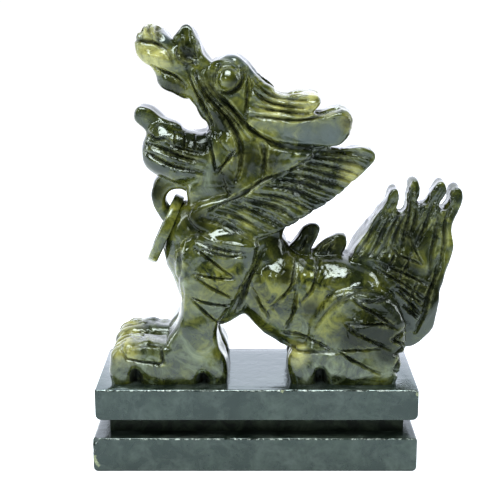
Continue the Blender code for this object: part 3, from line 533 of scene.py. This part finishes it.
def rough_figure():
    """Every form and lump of the figure in one mesh, still passing through each other."""
    bm = bmesh.new()
    mirror = Matrix.Diagonal((1, -1, 1, 1))
    for name, (offset, *_) in FORMS.items():
        mesh = slab(name)
        out = Matrix.Translation((0, offset * UNIT, 0))
        add_mesh(bm, mesh, out)
        if offset:
            add_mesh(bm, mesh, mirror @ out)
    lump = ball()
    for centre, half_sizes in LUMPS.values():
        for side in (-1, 1):
            size = Matrix.Diagonal([half * UNIT for half in half_sizes] + [1])
            place = Matrix.Translation([centre[0] * UNIT, centre[1] * UNIT * side, centre[2] * UNIT])
            add_mesh(bm, lump, place @ size)
    bmesh.ops.remove_doubles(bm, verts=bm.verts, dist=WELD)
    return mesh_from(bm, "rough_figure")


def fused(mesh):
    """One smooth skin around everything in the mesh."""
    obj = linked("fused_figure", mesh)
    remesh = obj.modifiers.new("one skin", "REMESH")
    remesh.mode = "VOXEL"
    remesh.voxel_size = VOXEL
    soften = obj.modifiers.new("soften", "SMOOTH")
    soften.factor = SMOOTH_FACTOR
    soften.iterations = SMOOTH_ROUNDS
    return baked(obj)


def points_of(mesh):
    places = np.empty(len(mesh.vertices) * 3)
    mesh.vertices.foreach_get("co", places)
    return places.reshape(-1, 3)


def rounded_line(line):
    """The line with its corners cut off twice over."""
    for _ in range(2):
        inner = [between(a, b, share) for a, b in zip(line, line[1:]) for share in (0.25, 0.75)]
        line = [line[0]] + inner[1:-1] + [line[-1]] if len(line) > 2 else line
    return line


def line_field(x, z, line, half_width, steep):
    """For each point: how deep a line cuts there, 0 to 1, and how near it is to the cut's rim."""
    cut = np.zeros(len(x))
    rim = np.zeros(len(x))
    stretches = len(line) - 1
    for index in range(stretches):
        start = line[index]
        run = np.subtract(line[index + 1], start)
        share = ((x - start[0]) * run[0] + (z - start[1]) * run[1]) / max(run @ run, 1e-9)
        share = np.clip(share, 0, 1)
        distance = np.hypot(x - start[0] - share * run[0], z - start[1] - share * run[1])
        way = (index + share) / stretches
        fade = np.sqrt(np.sin(np.pi * (RUN_OUT + (1 - 2 * RUN_OUT) * way)))
        distance = distance / (1 + WAVER * np.sin(WAVES * way + line[0][0] + line[0][1]))
        cut = np.maximum(cut, fade * np.clip(1 - distance / half_width, 0, 1) ** steep)
        rim = np.maximum(rim, fade * np.exp(-((distance / half_width - RIM_PLACE) / RIM_WIDTH) ** 2))
    return cut, rim


def swollen(x, y, z, swellings):
    """How far these swellings of the flanks lift each point."""
    height = np.zeros(len(x))
    for centre_x, centre_z, half_width, half_height, rise in swellings:
        away = ((x - centre_x) / half_width) ** 2 + ((z - centre_z) / half_height) ** 2
        height = np.maximum(height, rise * np.clip(1 - away, 0, 1) ** SWELLING_FALL)
    return height * np.clip(np.abs(y) / SWELLING_START - 1, 0, 1)


def raised_field(x, y, z):
    """The height of all raised bands, each round in section."""
    height = np.zeros(len(x))
    for half_width, tall, start, lines in RIDGES.values():
        for line in map(rounded_line, lines):
            near = near_line(x, y, z, line, half_width, start)
            if len(near):
                band = line_field(x[near], z[near], line, half_width, 1)[0]
                height[near] = np.maximum(height[near], tall * (1 - np.cos(np.pi * band)) / 2)
    return height


def near_line(x, y, z, line, half_width, start):
    """Which points lie in the box around a line, and far enough out from the middle plane."""
    corners = np.array(line)
    low = corners.min(axis=0) - 2 * half_width
    high = corners.max(axis=0) + 2 * half_width
    return np.flatnonzero((x > low[0]) & (x < high[0]) & (z > low[1]) & (z < high[1])
                          & (np.abs(y) > start))


def carved_field(x, y, z):
    """The depth of all cuts, how far into a cut each point is, and how near to a rim."""
    wandered = x + WANDER * np.sin(0.35 * z + 0.2 * x)
    z = z + WANDER * np.sin(0.3 * x - 0.15 * z)
    x = wandered
    depth = np.zeros(len(x))
    groove = np.zeros(len(x))
    rims = np.zeros(len(x))
    for name, (half_width, deep, start, steep, lines) in CUTS.items():
        for line in lines:
            if name not in ANGULAR:
                line = rounded_line(line)
            near = near_line(x, y, z, line, half_width, start)
            if not len(near):
                continue
            cut, rim = line_field(x[near], z[near], line, half_width, steep)
            depth[near] = np.maximum(depth[near], deep * cut)
            groove[near] = np.maximum(groove[near], cut * min(1, deep / FULL_DEPTH))
            rims[near] = np.maximum(rims[near], rim * min(1, deep / FULL_DEPTH))
    for offset, x_from, x_to, z_to in TOE_CREASES:
        inside = (x > x_from) & (x < x_to) & (z < z_to)
        crease = np.clip(1 - np.abs(np.abs(y) - offset) / TOE_HALF_WIDTH, 0, 1) * inside
        depth = np.maximum(depth, TOE_DEPTH * crease)
        groove = np.maximum(groove, crease)
    return depth, groove, rims * (1 - groove)


def hand_worked(x, y, z):
    """Slight unevenness of a surface ground and polished by hand."""
    slow = np.sin(0.31 * x + 0.9 * np.sin(0.23 * z + 0.4 * y) + 0.2 * y)
    middle = np.sin(0.62 * z + 1.1 * np.sin(0.47 * x + 1.7) + 0.37 * y)
    quick = np.sin(1.3 * x + 0.9 * z + 1.2 * np.sin(0.8 * z - 0.6 * x + 0.5 * y))
    return 0.26 * slow + 0.14 * middle + 0.03 * quick


def ripples(x, y, z):
    """Small waves where the polish is broken up."""
    first = np.sin(2.3 * x + 1.6 * np.sin(1.4 * z + 0.7 * y) + 0.8 * z)
    second = np.sin(2.1 * z + 1.5 * np.sin(1.9 * x - 0.5 * y))
    return 0.075 * (first + second) * patches(RIPPLED, x, z)


def carve(mesh):
    """Sinks every cut and raises bands, swellings and unevenness along the skin's normals."""
    places = points_of(mesh)
    normals = np.empty(len(places) * 3)
    mesh.vertex_normals.foreach_get("vector", normals)
    normals = normals.reshape(-1, 3)
    x, y, z = (places / UNIT).T
    depth, _, rims = carved_field(x, y, z)
    outward = np.abs(normals[:, 1])
    lift = hand_worked(x, y, z) * (1 - 0.8 * patches(FLAT, x, z)) * (1 + patches(UNEVEN, x, z))
    lift += RIM_RISE * rims
    lift += ripples(x, y, z) + raised_field(x, y, z)
    lift += (swollen(x, y, z, SWELLINGS) + swollen(x, y, z, BUMPS)) * outward
    places += normals * ((lift - depth) * UNIT)[:, None]
    mesh.vertices.foreach_set("co", places.ravel())
    mesh.update()


def thinned(mesh, triangles):
    """The same form in about this many triangles."""
    mesh.calc_loop_triangles()
    obj = linked("thinned_figure", mesh)
    thin = obj.modifiers.new("thin out", "DECIMATE")
    thin.ratio = min(1, triangles / len(mesh.loop_triangles))
    return baked(obj)


def rounded_corner(x, z, radius, turn):
    """Points round a corner at (x, z) of an upright rectangle, from this quarter turn on."""
    if not radius:
        return [(x, z)]
    way_x = math.copysign(radius, x)
    way_z = math.copysign(radius, z)
    steps = [(turn + step / ROUND_STEPS) * math.pi / 2 for step in range(ROUND_STEPS + 1)]
    return [(x - way_x + radius * math.cos(angle), z - way_z + radius * math.sin(angle))
            for angle in steps]


def block(name, size, centre, rounds, edge):
    """A block whose ends are rounded by rounds (top, bottom) and whose other edges are worn by edge."""
    width, depth, height = size
    top, bottom = rounds
    right = width / 2
    up = height / 2
    profile = (rounded_corner(right, up, top, 0) + rounded_corner(-right, up, top, 1)
               + rounded_corner(-right, -up, bottom, 2) + rounded_corner(right, -up, bottom, 3))
    bm = bmesh.new()
    face = bm.faces.new([bm.verts.new((centre[0] + x, centre[1] - depth / 2, centre[2] + z))
                         for x, z in profile])
    far = bmesh.ops.extrude_face_region(bm, geom=[face])["geom"]
    bmesh.ops.translate(bm, vec=(0, depth, 0), verts=[v for v in far if isinstance(v, bmesh.types.BMVert)])
    bmesh.ops.recalc_face_normals(bm, faces=bm.faces)
    obj = linked(name, mesh_from(bm, name))
    if edge:
        bevel = obj.modifiers.new("worn edge", "BEVEL")
        bevel.width = edge
        bevel.segments = EDGE_BEVEL_STEPS
    return obj


def chip(generator, height, largest):
    """Where one chip along a slab's edge lies, how it is turned, and its size."""
    x = generator.uniform(-BASE_WIDTH / 2, BASE_WIDTH / 2)
    side = generator.choice([-1, 1])
    size = generator.uniform(0.35, 1) * largest
    stretch = generator.uniform(1, 2.6)
    into_slab = 0.2 * size * (1 if height else -1)
    place = Matrix.Translation((x, side * (BASE_DEPTH / 2 + 0.25 * size), height + into_slab))
    roll = Matrix.Rotation(generator.uniform(0, 3), 4, "X")
    swing = Matrix.Rotation(generator.uniform(-0.3, 0.3), 4, "Z")
    return place @ (roll @ swing) @ Matrix.Diagonal((size * stretch, size, size, 1))


def chips():
    """Small lumps of many facets along the slabs' edges, to be cut away as chips."""
    generator = np.random.default_rng(11)
    bm = bmesh.new()
    for height, count, largest in CHIP_ROWS:
        for _ in range(count):
            place = chip(generator, height, largest)
            bmesh.ops.create_icosphere(bm, subdivisions=1, radius=1, matrix=place)
    for x, side, z, size in CHIP_CORNERS:
        place = Matrix.Translation((x, side * BASE_DEPTH / 2, z))
        bmesh.ops.create_icosphere(bm, subdivisions=1, radius=size, matrix=place)
    return linked("chips", mesh_from(bm, "chips"))


def join_or_cut(obj, other, operation, own_overlaps=False):
    """Has the other object joined to this one or cut from it when its modifiers are applied."""
    boolean = obj.modifiers.new(f"{operation.lower()} {other.name}", "BOOLEAN")
    boolean.operation = operation
    boolean.solver = "EXACT"
    boolean.object = other
    boolean.use_self = own_overlaps
    other.hide_render = True


def base_mesh():
    """The two slabs and the waist between them as one mesh, with chipped edges."""
    lower_width = BASE_WIDTH + LOWER_SLAB_OVERHANG
    base = block("upper_slab", (BASE_WIDTH, BASE_DEPTH, UPPER_SLAB_HEIGHT),
                 (0, 0, FIGURE_FOOT - UPPER_SLAB_HEIGHT / 2), UPPER_SLAB_ROUNDS, SLAB_EDGE)
    waist = block("waist", (BASE_WIDTH - 2 * WAIST_END_INSET, BASE_DEPTH - 2 * WAIST_INSET,
                            WAIST_HEIGHT + 2 * SLAB_OVERLAP),
                  (0, 0, LOWER_SLAB_HEIGHT + WAIST_HEIGHT / 2), (0, 0), 0)
    lower = block("lower_slab", (lower_width, BASE_DEPTH, LOWER_SLAB_HEIGHT),
                  (-LOWER_SLAB_OVERHANG / 2, 0, LOWER_SLAB_HEIGHT / 2), LOWER_SLAB_ROUNDS, SLAB_EDGE)
    nicks = chips()
    join_or_cut(base, waist, "UNION")
    join_or_cut(base, lower, "UNION")
    join_or_cut(base, nicks, "DIFFERENCE", True)
    mesh = baked(base)
    for tool in (waist, lower, nicks):
        bpy.data.objects.remove(tool, do_unlink=True)
    return mesh


def store(mesh, name, values):
    """Keeps one value for each point of the mesh, for the stone's colour."""
    layer = mesh.attributes.new(name, "FLOAT", "POINT")
    layer.data.foreach_set("value", np.ascontiguousarray(values, dtype=np.float32))


def patches(spots, x, z):
    """How strongly soft round spots of the XZ plane cover each point."""
    cover = np.zeros(len(x))
    for spot_x, spot_z, radius in spots:
        distance = np.hypot(x - spot_x, z - spot_z) / radius
        cover = np.maximum(cover, np.clip(1.5 - distance, 0, 1))
    return cover


def statue_mesh():
    """Figure and base in one mesh; cuts, rims, spots and the arches' painted shade kept for the stone's
    colour.
    """
    skin = fused(rough_figure())
    carve(skin)
    figure = thinned(skin, FIGURE_TRIANGLES)
    figure.transform(Matrix.Translation((0, 0, FIGURE_FOOT)))
    statue = linked("statue", figure)
    plinth = linked("plinth", base_mesh())
    join_or_cut(statue, plinth, "UNION")
    mesh = baked(statue)
    bpy.data.objects.remove(plinth, do_unlink=True)
    x, y, z = (points_of(mesh) / UNIT).T
    z = z - FIGURE_FOOT / UNIT
    depth, groove, rims = carved_field(x, y, z)
    above = z > FOOT_LINE
    # Painted shade: the arches under the paws take the cuts' near black
    for notch_x, notch_z, half_width, half_height in SHADED_ARCHES:
        inside = ((x - notch_x) / half_width) ** 2 + ((z - notch_z) / half_height) ** 2 < 1
        groove = np.maximum(groove, inside * (np.abs(y) < SHADED_ARCH_REACH))
    store(mesh, "groove", groove * above)
    store(mesh, "rim", rims * above)
    # Painted reflection of the pale room, kept out of the deeper cuts
    store(mesh, "painted_grey_sheen", patches(GREY_SHEEN_SPOTS, x, z) * above * (depth < SHALLOW))
    spots = {"pale": PALE, "dark": DARK_AND_SHADE_SPOTS, "golden": GOLDEN, "warm": WARM, "rippled": RIPPLED}
    for name, places in spots.items():
        store(mesh, name, patches(places, x, z) * above)
    return mesh


class Nodes:
    """A short way to place nodes and join their sockets."""

    def __init__(self, tree):
        self.tree = tree
        tree.nodes.clear()

    def feed(self, socket, value):
        """Joins the socket to another node's output, or gives it a plain value."""
        if isinstance(value, bpy.types.NodeSocket):
            self.tree.links.new(value, socket)
        else:
            socket.default_value = value

    def add(self, kind, values=None, **settings):
        node = self.tree.nodes.new(kind)
        for key, value in settings.items():
            setattr(node, key, value)
        for key, value in (values or {}).items():
            self.feed(node.inputs[key], value)
        return node

    def mix(self, factor, a, b, blend="MIX"):
        node = self.add("ShaderNodeMix", {0: factor, 6: a, 7: b}, data_type="RGBA", blend_type=blend)
        return node.outputs[2]

    def math(self, operation, a, b=0.0):
        return self.add("ShaderNodeMath", {0: a, 1: b}, operation=operation).outputs[0]

    def times(self, a, b):
        return self.math("MULTIPLY", a, b)

    def plus(self, a, b):
        return self.math("ADD", a, b)

    def mask(self, name):
        """What the mesh keeps for each point under this name."""
        return self.add("ShaderNodeAttribute", attribute_name=name).outputs["Fac"]

    def here(self):
        return self.add("ShaderNodeTexCoord").outputs["Object"]

    def ramp(self, factor, stops):
        node = self.add("ShaderNodeValToRGB", {"Fac": factor})
        ramp = node.color_ramp
        while len(ramp.elements) < len(stops):
            ramp.elements.new(0.5)
        for element, (place, colour) in zip(ramp.elements, stops):
            element.position = place
            element.color = (*colour, 1)
        return node.outputs["Color"]

    def rise(self, factor, start, end, high=1, low=0):
        """Goes evenly from low to high while the factor goes from start to end."""
        return self.ramp(factor, [(start, [low] * 3), (end, [high] * 3)])

    def noise(self, where, scale, detail=4, distortion=0.0, roughness=0.55):
        values = {"Vector": where, "Scale": scale, "Detail": detail, "Distortion": distortion,
                  "Roughness": roughness}
        return self.add("ShaderNodeTexNoise", values).outputs["Fac"]

    def surface(self, **values):
        """The finished surface. In the values' names, _ stands for a space."""
        named = {key.replace("_", " "): value for key, value in values.items()}
        shader = self.add("ShaderNodeBsdfPrincipled", named)
        self.add("ShaderNodeOutputMaterial", {"Surface": shader.outputs["BSDF"]})


def new_material(name):
    material = bpy.data.materials.new(name)
    material.use_nodes = True
    return material, Nodes(material.node_tree)


def edge_lines(n, where, heights):
    """Where worn front and back edges at these heights show as thin broken pale lines: wear, and a painted
    highlight.
    """
    parts = n.add("ShaderNodeSeparateXYZ", {"Vector": where})
    outer = n.math("GREATER_THAN", n.math("ABSOLUTE", parts.outputs["Y"]), BASE_DEPTH / 2 - SLAB_EDGE / 2)
    near = 0.0
    for height in heights:
        off = n.math("ABSOLUTE", n.math("SUBTRACT", parts.outputs["Z"], height))
        near = n.math("MAXIMUM", n.math("LESS_THAN", off, SLAB_EDGE), near)
    broken = n.rise(n.noise(where, 420, 5, 0.5, 0.75), 0.5, 0.62, 0.8)
    return n.times(n.times(outer, near), broken)


def spot(n, where, place, radius):
    """A blotch with a broken rim round one point."""
    away = n.add("ShaderNodeVectorMath", {0: where, 1: place}, operation="DISTANCE").outputs["Value"]
    ragged = n.times(n.noise(where, 900, 6, 1.5, 0.8), 3 * radius)
    return n.times(n.math("LESS_THAN", n.plus(away, ragged), 2.1 * radius), 0.45)


def clouded(n, where, small, stops, veil_colour, veil_share):
    """Layered clouds under a paler veil, with warm and golden spots, darker spots and painted shade, and a
    painted grey reflection.
    """
    large = n.noise(where, 38, 4, 0.7)
    colour = n.ramp(n.plus(n.times(large, 0.5), n.times(small, 0.5)), stops)
    veil = n.rise(n.noise(where, 75, 8, 1.6, 0.68), 0.47, 0.68)
    share = n.plus(n.times(n.mask("pale"), 0.75), veil_share)
    colour = n.mix(n.times(veil, share), colour, veil_colour)
    colour = n.mix(n.times(n.mask("warm"), n.rise(small, 0.4, 0.6, 0.85)), colour, WARM_GREEN)
    colour = n.mix(n.times(n.mask("golden"), n.rise(small, 0.38, 0.6, 0.9, 0.25)), colour, GOLD)
    # Darker spots, painted shade in part
    colour = n.mix(n.times(n.mask("dark"), 0.8), colour, DEEP_GREEN_AND_SHADE)
    # Painted reflection: grey where flat faces mirror the pale room
    return n.mix(n.times(n.mask("painted_grey_sheen"), 0.85), colour, PAINTED_GREY_SHEEN)


def darkened_cuts_and_pale_rims(n, colour, small, fine, worn_and_highlight_colour):
    """Dark specks, near black in the cuts and as painted shade in the arches, and paler rims: wear with a
    painted highlight.
    """
    colour = n.mix(n.rise(fine, 0.28, 0.42, 0, 0.7), colour, SPECK)
    # Near black in the cuts; in the arches under the paws it is painted shade
    colour = n.mix(n.times(n.mask("groove"), 0.9), colour, CUT_DARK_AND_ARCH_SHADE)
    # Paler rims along the cuts: wear, and a painted highlight
    worn = n.times(n.mask("rim"), n.rise(small, 0.44, 0.66, 0.4))
    return n.mix(worn, colour, worn_and_highlight_colour)


def knocked(n, where, colour, worn_and_highlight_colour, edges, chipped):
    """Mist on the slabs' faces, worn edges with a painted highlight, and chips of raw stone."""
    mist = n.rise(n.noise(where, 90, 9, 0.4, 0.72), 0.46, 0.72, 0.7)
    colour = n.mix(mist, colour, MIST)
    # Worn edges, with a painted highlight along them
    colour = n.mix(edge_lines(n, where, edges), colour, WORN_EDGE_AND_HIGHLIGHT)
    for place, radius in chipped:
        colour = n.mix(spot(n, where, place, radius), colour, worn_and_highlight_colour)
    return colour


def relief(n, where, fine):
    """The surface's small waves, and its grain on top of them."""
    uneven = n.plus(n.times(n.mask("rippled"), 0.4), 0.16)
    waves = n.add("ShaderNodeBump", {"Height": n.noise(where, 170, 3, 0.5), "Strength": uneven,
                                     "Distance": 0.001})
    busy = n.plus(n.times(n.plus(n.mask("rim"), n.mask("groove")), 0.3), 0.1)
    grain = n.add("ShaderNodeBump", {"Height": fine, "Strength": busy, "Distance": 0.0006,
                                     "Normal": waves.outputs["Normal"]})
    return grain.outputs["Normal"]


def polish(n, where, shine):
    """How strongly the wax shines: more on the base's top, less in warm places and in the darker places,
    painted shade among them.
    """
    height = n.add("ShaderNodeSeparateXYZ", {"Vector": where}).outputs["Z"]
    on_top = n.math("LESS_THAN", n.math("ABSOLUTE", n.math("SUBTRACT", height, FIGURE_FOOT)), 0.0002)
    duller = n.math("MAXIMUM", n.times(n.mask("dark"), 0.62), n.times(n.mask("warm"), 0.5))
    return n.math("SUBTRACT", n.plus(n.times(on_top, 0.65), shine), n.times(duller, shine))


def jade(name, stops, veil_colour, veil_share, worn_and_highlight_colour, grain_size, tint, shine, edges=(), chipped=()):
    """Waxed dark jade: layered clouds, darker cuts with painted shade in the arches, paler rims that are worn
    and painted with a highlight.
    """
    material, n = new_material(name)
    where = n.here()
    small = n.noise(where, 150, 7, 1.1, 0.66)
    fine = n.noise(where, grain_size, 4, 0.3, 0.65)
    colour = clouded(n, where, small, stops, veil_colour, veil_share)
    colour = darkened_cuts_and_pale_rims(n, colour, small, fine, worn_and_highlight_colour)
    if edges:
        colour = knocked(n, where, colour, worn_and_highlight_colour, edges, chipped)
    rough = n.plus(n.times(small, 0.2), n.times(n.mask("groove"), 0.35))
    n.surface(Base_Color=colour, Roughness=n.plus(rough, 0.03), IOR=1.6, Specular_Tint=tint,
              Specular_IOR_Level=polish(n, where, shine), Normal=relief(n, where, fine))
    return material


def painted_shade_recess_stone():
    """The waist's dull stone, painted nearly black as shade, where polish and light do not reach."""
    material, n = new_material("recess_painted_shade_jade")
    cloud = n.noise(n.here(), 160, 6, 0.8, 0.65)
    # Painted shade: near black colour for the set-back waist
    colour = n.ramp(cloud, [(0.4, (0.004, 0.007, 0.004)), (0.7, (0.028, 0.04, 0.024))])
    rough = n.plus(n.times(cloud, 0.3), 0.4)
    grain = n.add("ShaderNodeBump", {"Height": cloud, "Strength": 0.3, "Distance": 0.0006})
    n.surface(Base_Color=colour, Roughness=rough, Specular_IOR_Level=0.1, Normal=grain.outputs["Normal"])
    return material


def squared(wave):
    """Presses a round wave towards a square one."""
    return math.copysign(abs(wave) ** RING_SQUARENESS, wave)


def ring_section(bm, turn):
    """The ring's rounded square section at this turn, a little uneven."""
    section = []
    for corner in range(RING_SECTION_POINTS):
        angle = 2 * math.pi * corner / RING_SECTION_POINTS
        uneven = 1 - 0.025 * (1 + math.sin(5 * turn + 1.3 * angle))
        uneven -= 0.02 * (1 + math.sin(11 * turn - angle))
        radius = RING_MIDDLE + squared(math.cos(angle)) * RING_WIDTH / 2 * uneven
        up = squared(math.sin(angle)) * RING_THICKNESS / 2 * uneven
        section.append(bm.verts.new((radius * math.cos(turn), radius * math.sin(turn), up)))
    return section


def ring_mesh():
    """The ring threaded through the loop, hanging down and forward, its edge to the camera."""
    bm = bmesh.new()
    sections = [ring_section(bm, 2 * math.pi * step / RING_STEPS) for step in range(RING_STEPS)]
    for near, far in zip(sections, sections[1:] + sections[:1]):
        for corner in range(RING_SECTION_POINTS):
            beyond = (corner + 1) % RING_SECTION_POINTS
            bm.faces.new((near[corner], far[corner], far[beyond], near[beyond]))
    bmesh.ops.recalc_face_normals(bm, faces=bm.faces)
    mesh = mesh_from(bm, "loose_ring")
    place = Matrix.Translation((LOOP_CENTRE[0] * UNIT - RING_MIDDLE * math.sin(RING_TILT), 0,
                                FIGURE_FOOT + LOOP_CENTRE[1] * UNIT - RING_MIDDLE * math.cos(RING_TILT)))
    mesh.transform(place @ Matrix.Rotation(math.pi / 2 + RING_TILT, 4, "Y"))
    return mesh


def add_piece(name, mesh, node, materials):
    """One piece of the object, standing for this node of the CAD model."""
    piece = linked(name, mesh)
    for material in materials:
        mesh.materials.append(material)
    mesh.shade_smooth()
    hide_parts(node)
    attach(piece, "root")
    return piece


def add_floor():
    bm = bmesh.new()
    bmesh.ops.create_grid(bm, x_segments=1, y_segments=1, size=FLOOR_HALF_WIDTH)
    mesh = mesh_from(bm, "floor")
    material, n = new_material("white_table")
    tone = n.ramp(n.noise(n.here(), 3), [(0.3, (0.82, 0.87, 0.9)), (0.7, (0.86, 0.9, 0.93))])
    n.surface(Base_Color=tone, Roughness=0.8, Emission_Color=(0.97, 0.98, 1, 1), Emission_Strength=0.57)
    mesh.materials.append(material)
    floor = linked("floor", mesh)


def add_world():
    """White to the camera. For reflections: a bright wall behind and above, darker in front."""
    world = bpy.data.worlds.new("studio")
    bpy.context.scene.world = world
    world.use_nodes = True
    n = Nodes(world.node_tree)
    direction = n.add("ShaderNodeTexCoord").outputs["Generated"]
    split = n.add("ShaderNodeSeparateXYZ", {"Vector": direction})
    depth = n.plus(n.times(split.outputs["Y"], 0.5), 0.5)
    tone = n.ramp(depth, [(0, (0.009, 0.011, 0.012)), (0.45, (0.02, 0.022, 0.024)),
                          (0.58, (0.32, 0.34, 0.38)), (0.78, (0.78, 0.81, 0.93))])
    height = n.plus(n.times(split.outputs["Z"], 0.5), 0.5)
    low_wall = n.ramp(height, [(0.46, (0.33, 0.37, 0.39)), (0.53, (0.15, 0.168, 0.175)),
                               (0.64, (0.045, 0.05, 0.052)), (0.8, (0, 0, 0))])
    tone = n.mix(1.0, tone, low_wall, "LIGHTEN")
    room = n.add("ShaderNodeBackground", {"Color": tone, "Strength": 2.4})
    white = n.add("ShaderNodeBackground", {"Color": (1, 1, 1, 1), "Strength": 1.05})
    seen = n.add("ShaderNodeLightPath").outputs["Is Camera Ray"]
    mixed = n.add("ShaderNodeMixShader", {0: seen, 1: room.outputs[0], 2: white.outputs[0]})
    n.add("ShaderNodeOutputWorld", {"Surface": mixed.outputs[0]})


def add_softbox(name, place, target, size, power):
    """A soft rectangular lamp, turned to what it lights."""
    light = bpy.data.lights.new(name, "AREA")
    light.shape = "RECTANGLE"
    light.size, light.size_y = size
    light.energy = power
    obj = linked(name, light)
    obj.location = place
    aim = Vector(target) - Vector(place)
    obj.rotation_euler = aim.to_track_quat("-Z", "Y").to_euler()


def add_camera():
    """The photo's view, a little from above and straight at the left flank."""
    data = bpy.data.cameras.new("camera")
    data.lens = LENS
    data.sensor_width = SENSOR_WIDTH
    data.shift_x = LENS_SHIFT
    camera = linked("camera", data)
    camera.location = CAMERA_PLACE
    camera.rotation_euler = (math.pi / 2 - CAMERA_DIP, 0, 0)
    bpy.context.scene.camera = camera
    bpy.context.scene.view_settings.view_transform = "Standard"


def paint(mesh):
    """Gives the base's faces the second stone and the waist's faces the third, a painted shade."""
    middles = np.empty(len(mesh.polygons) * 3)
    mesh.polygons.foreach_get("center", middles)
    x, y, z = middles.reshape(-1, 3).T
    stone = (z < FIGURE_FOOT + 0.00002).astype(np.int32)
    between_slabs = np.abs(z - LOWER_SLAB_HEIGHT - WAIST_HEIGHT / 2) < WAIST_HEIGHT / 2 - 0.0001
    set_back = np.abs(y) < BASE_DEPTH / 2 - WAIST_INSET + WAIST_SLACK
    set_back &= np.abs(x) < BASE_WIDTH / 2 - WAIST_END_INSET + WAIST_SLACK
    # Painted shade on the waist's set-back faces
    stone[between_slabs & set_back] = 2
    mesh.polygons.foreach_set("material_index", stone)
    mesh.set_sharp_from_angle(angle=SHARP_ANGLE)


OLIVE = [(0.38, (0.0025, 0.004, 0.001)), (0.46, (0.009, 0.013, 0.002)), (0.53, (0.03, 0.037, 0.005)),
         (0.61, (0.09, 0.098, 0.013)), (0.7, (0.22, 0.225, 0.05))]
RING_OLIVE = [(place, tuple(1.2 * part for part in tone)) for place, tone in OLIVE]
GREY_GREEN = [(0.35, (0.002, 0.004, 0.003)), (0.5, (0.005, 0.009, 0.0065)), (0.7, (0.026, 0.038, 0.028))]
EDGE_HEIGHTS = (FIGURE_FOOT, LOWER_SLAB_HEIGHT)
CHIPPED = [((x, -BASE_DEPTH / 2, z), radius) for x, z, radius in (
    (-0.0669, 0.0062, 0.0013), (-0.0664, 0.005, 0.0012), (-0.0659, 0.0039, 0.0012),
    (-0.0652, 0.0028, 0.001), (0.0655, 0.034, 0.0013), (0.0104, 0.0352, 0.001))]
GREEN_SHINE = (0.86, 1, 0.95, 1)
# Pale of the cuts' rims: wear, and a painted highlight
WORN_OLIVE_AND_HIGHLIGHT = (0.3, 0.33, 0.13, 1)

figure_jade = jade("olive_jade", OLIVE, (0.15, 0.185, 0.105, 1), 0.08, WORN_OLIVE_AND_HIGHLIGHT, 800, GREEN_SHINE, 0.44)
base_jade = jade("grey_green_jade", GREY_GREEN, (0.045, 0.06, 0.047, 1), 0.3, (0.34, 0.38, 0.2, 1), 900,
                 (0.78, 1, 0.97, 1), 0.35, EDGE_HEIGHTS, CHIPPED)
ring_jade = jade("ring_jade", RING_OLIVE, (0.17, 0.2, 0.12, 1), 0.45, WORN_OLIVE_AND_HIGHLIGHT, 800, GREEN_SHINE, 0.45)
statue = add_piece("jade_qilin", statue_mesh(), "qilin_on_base", [figure_jade, base_jade, painted_shade_recess_stone()])
paint(statue.data)
add_piece("loose_ring", ring_mesh(), "mouth_ring", [ring_jade])
add_floor()
add_world()
for lamp, settings in SOFTBOXES.items():
    add_softbox(lamp, *settings)
add_camera()
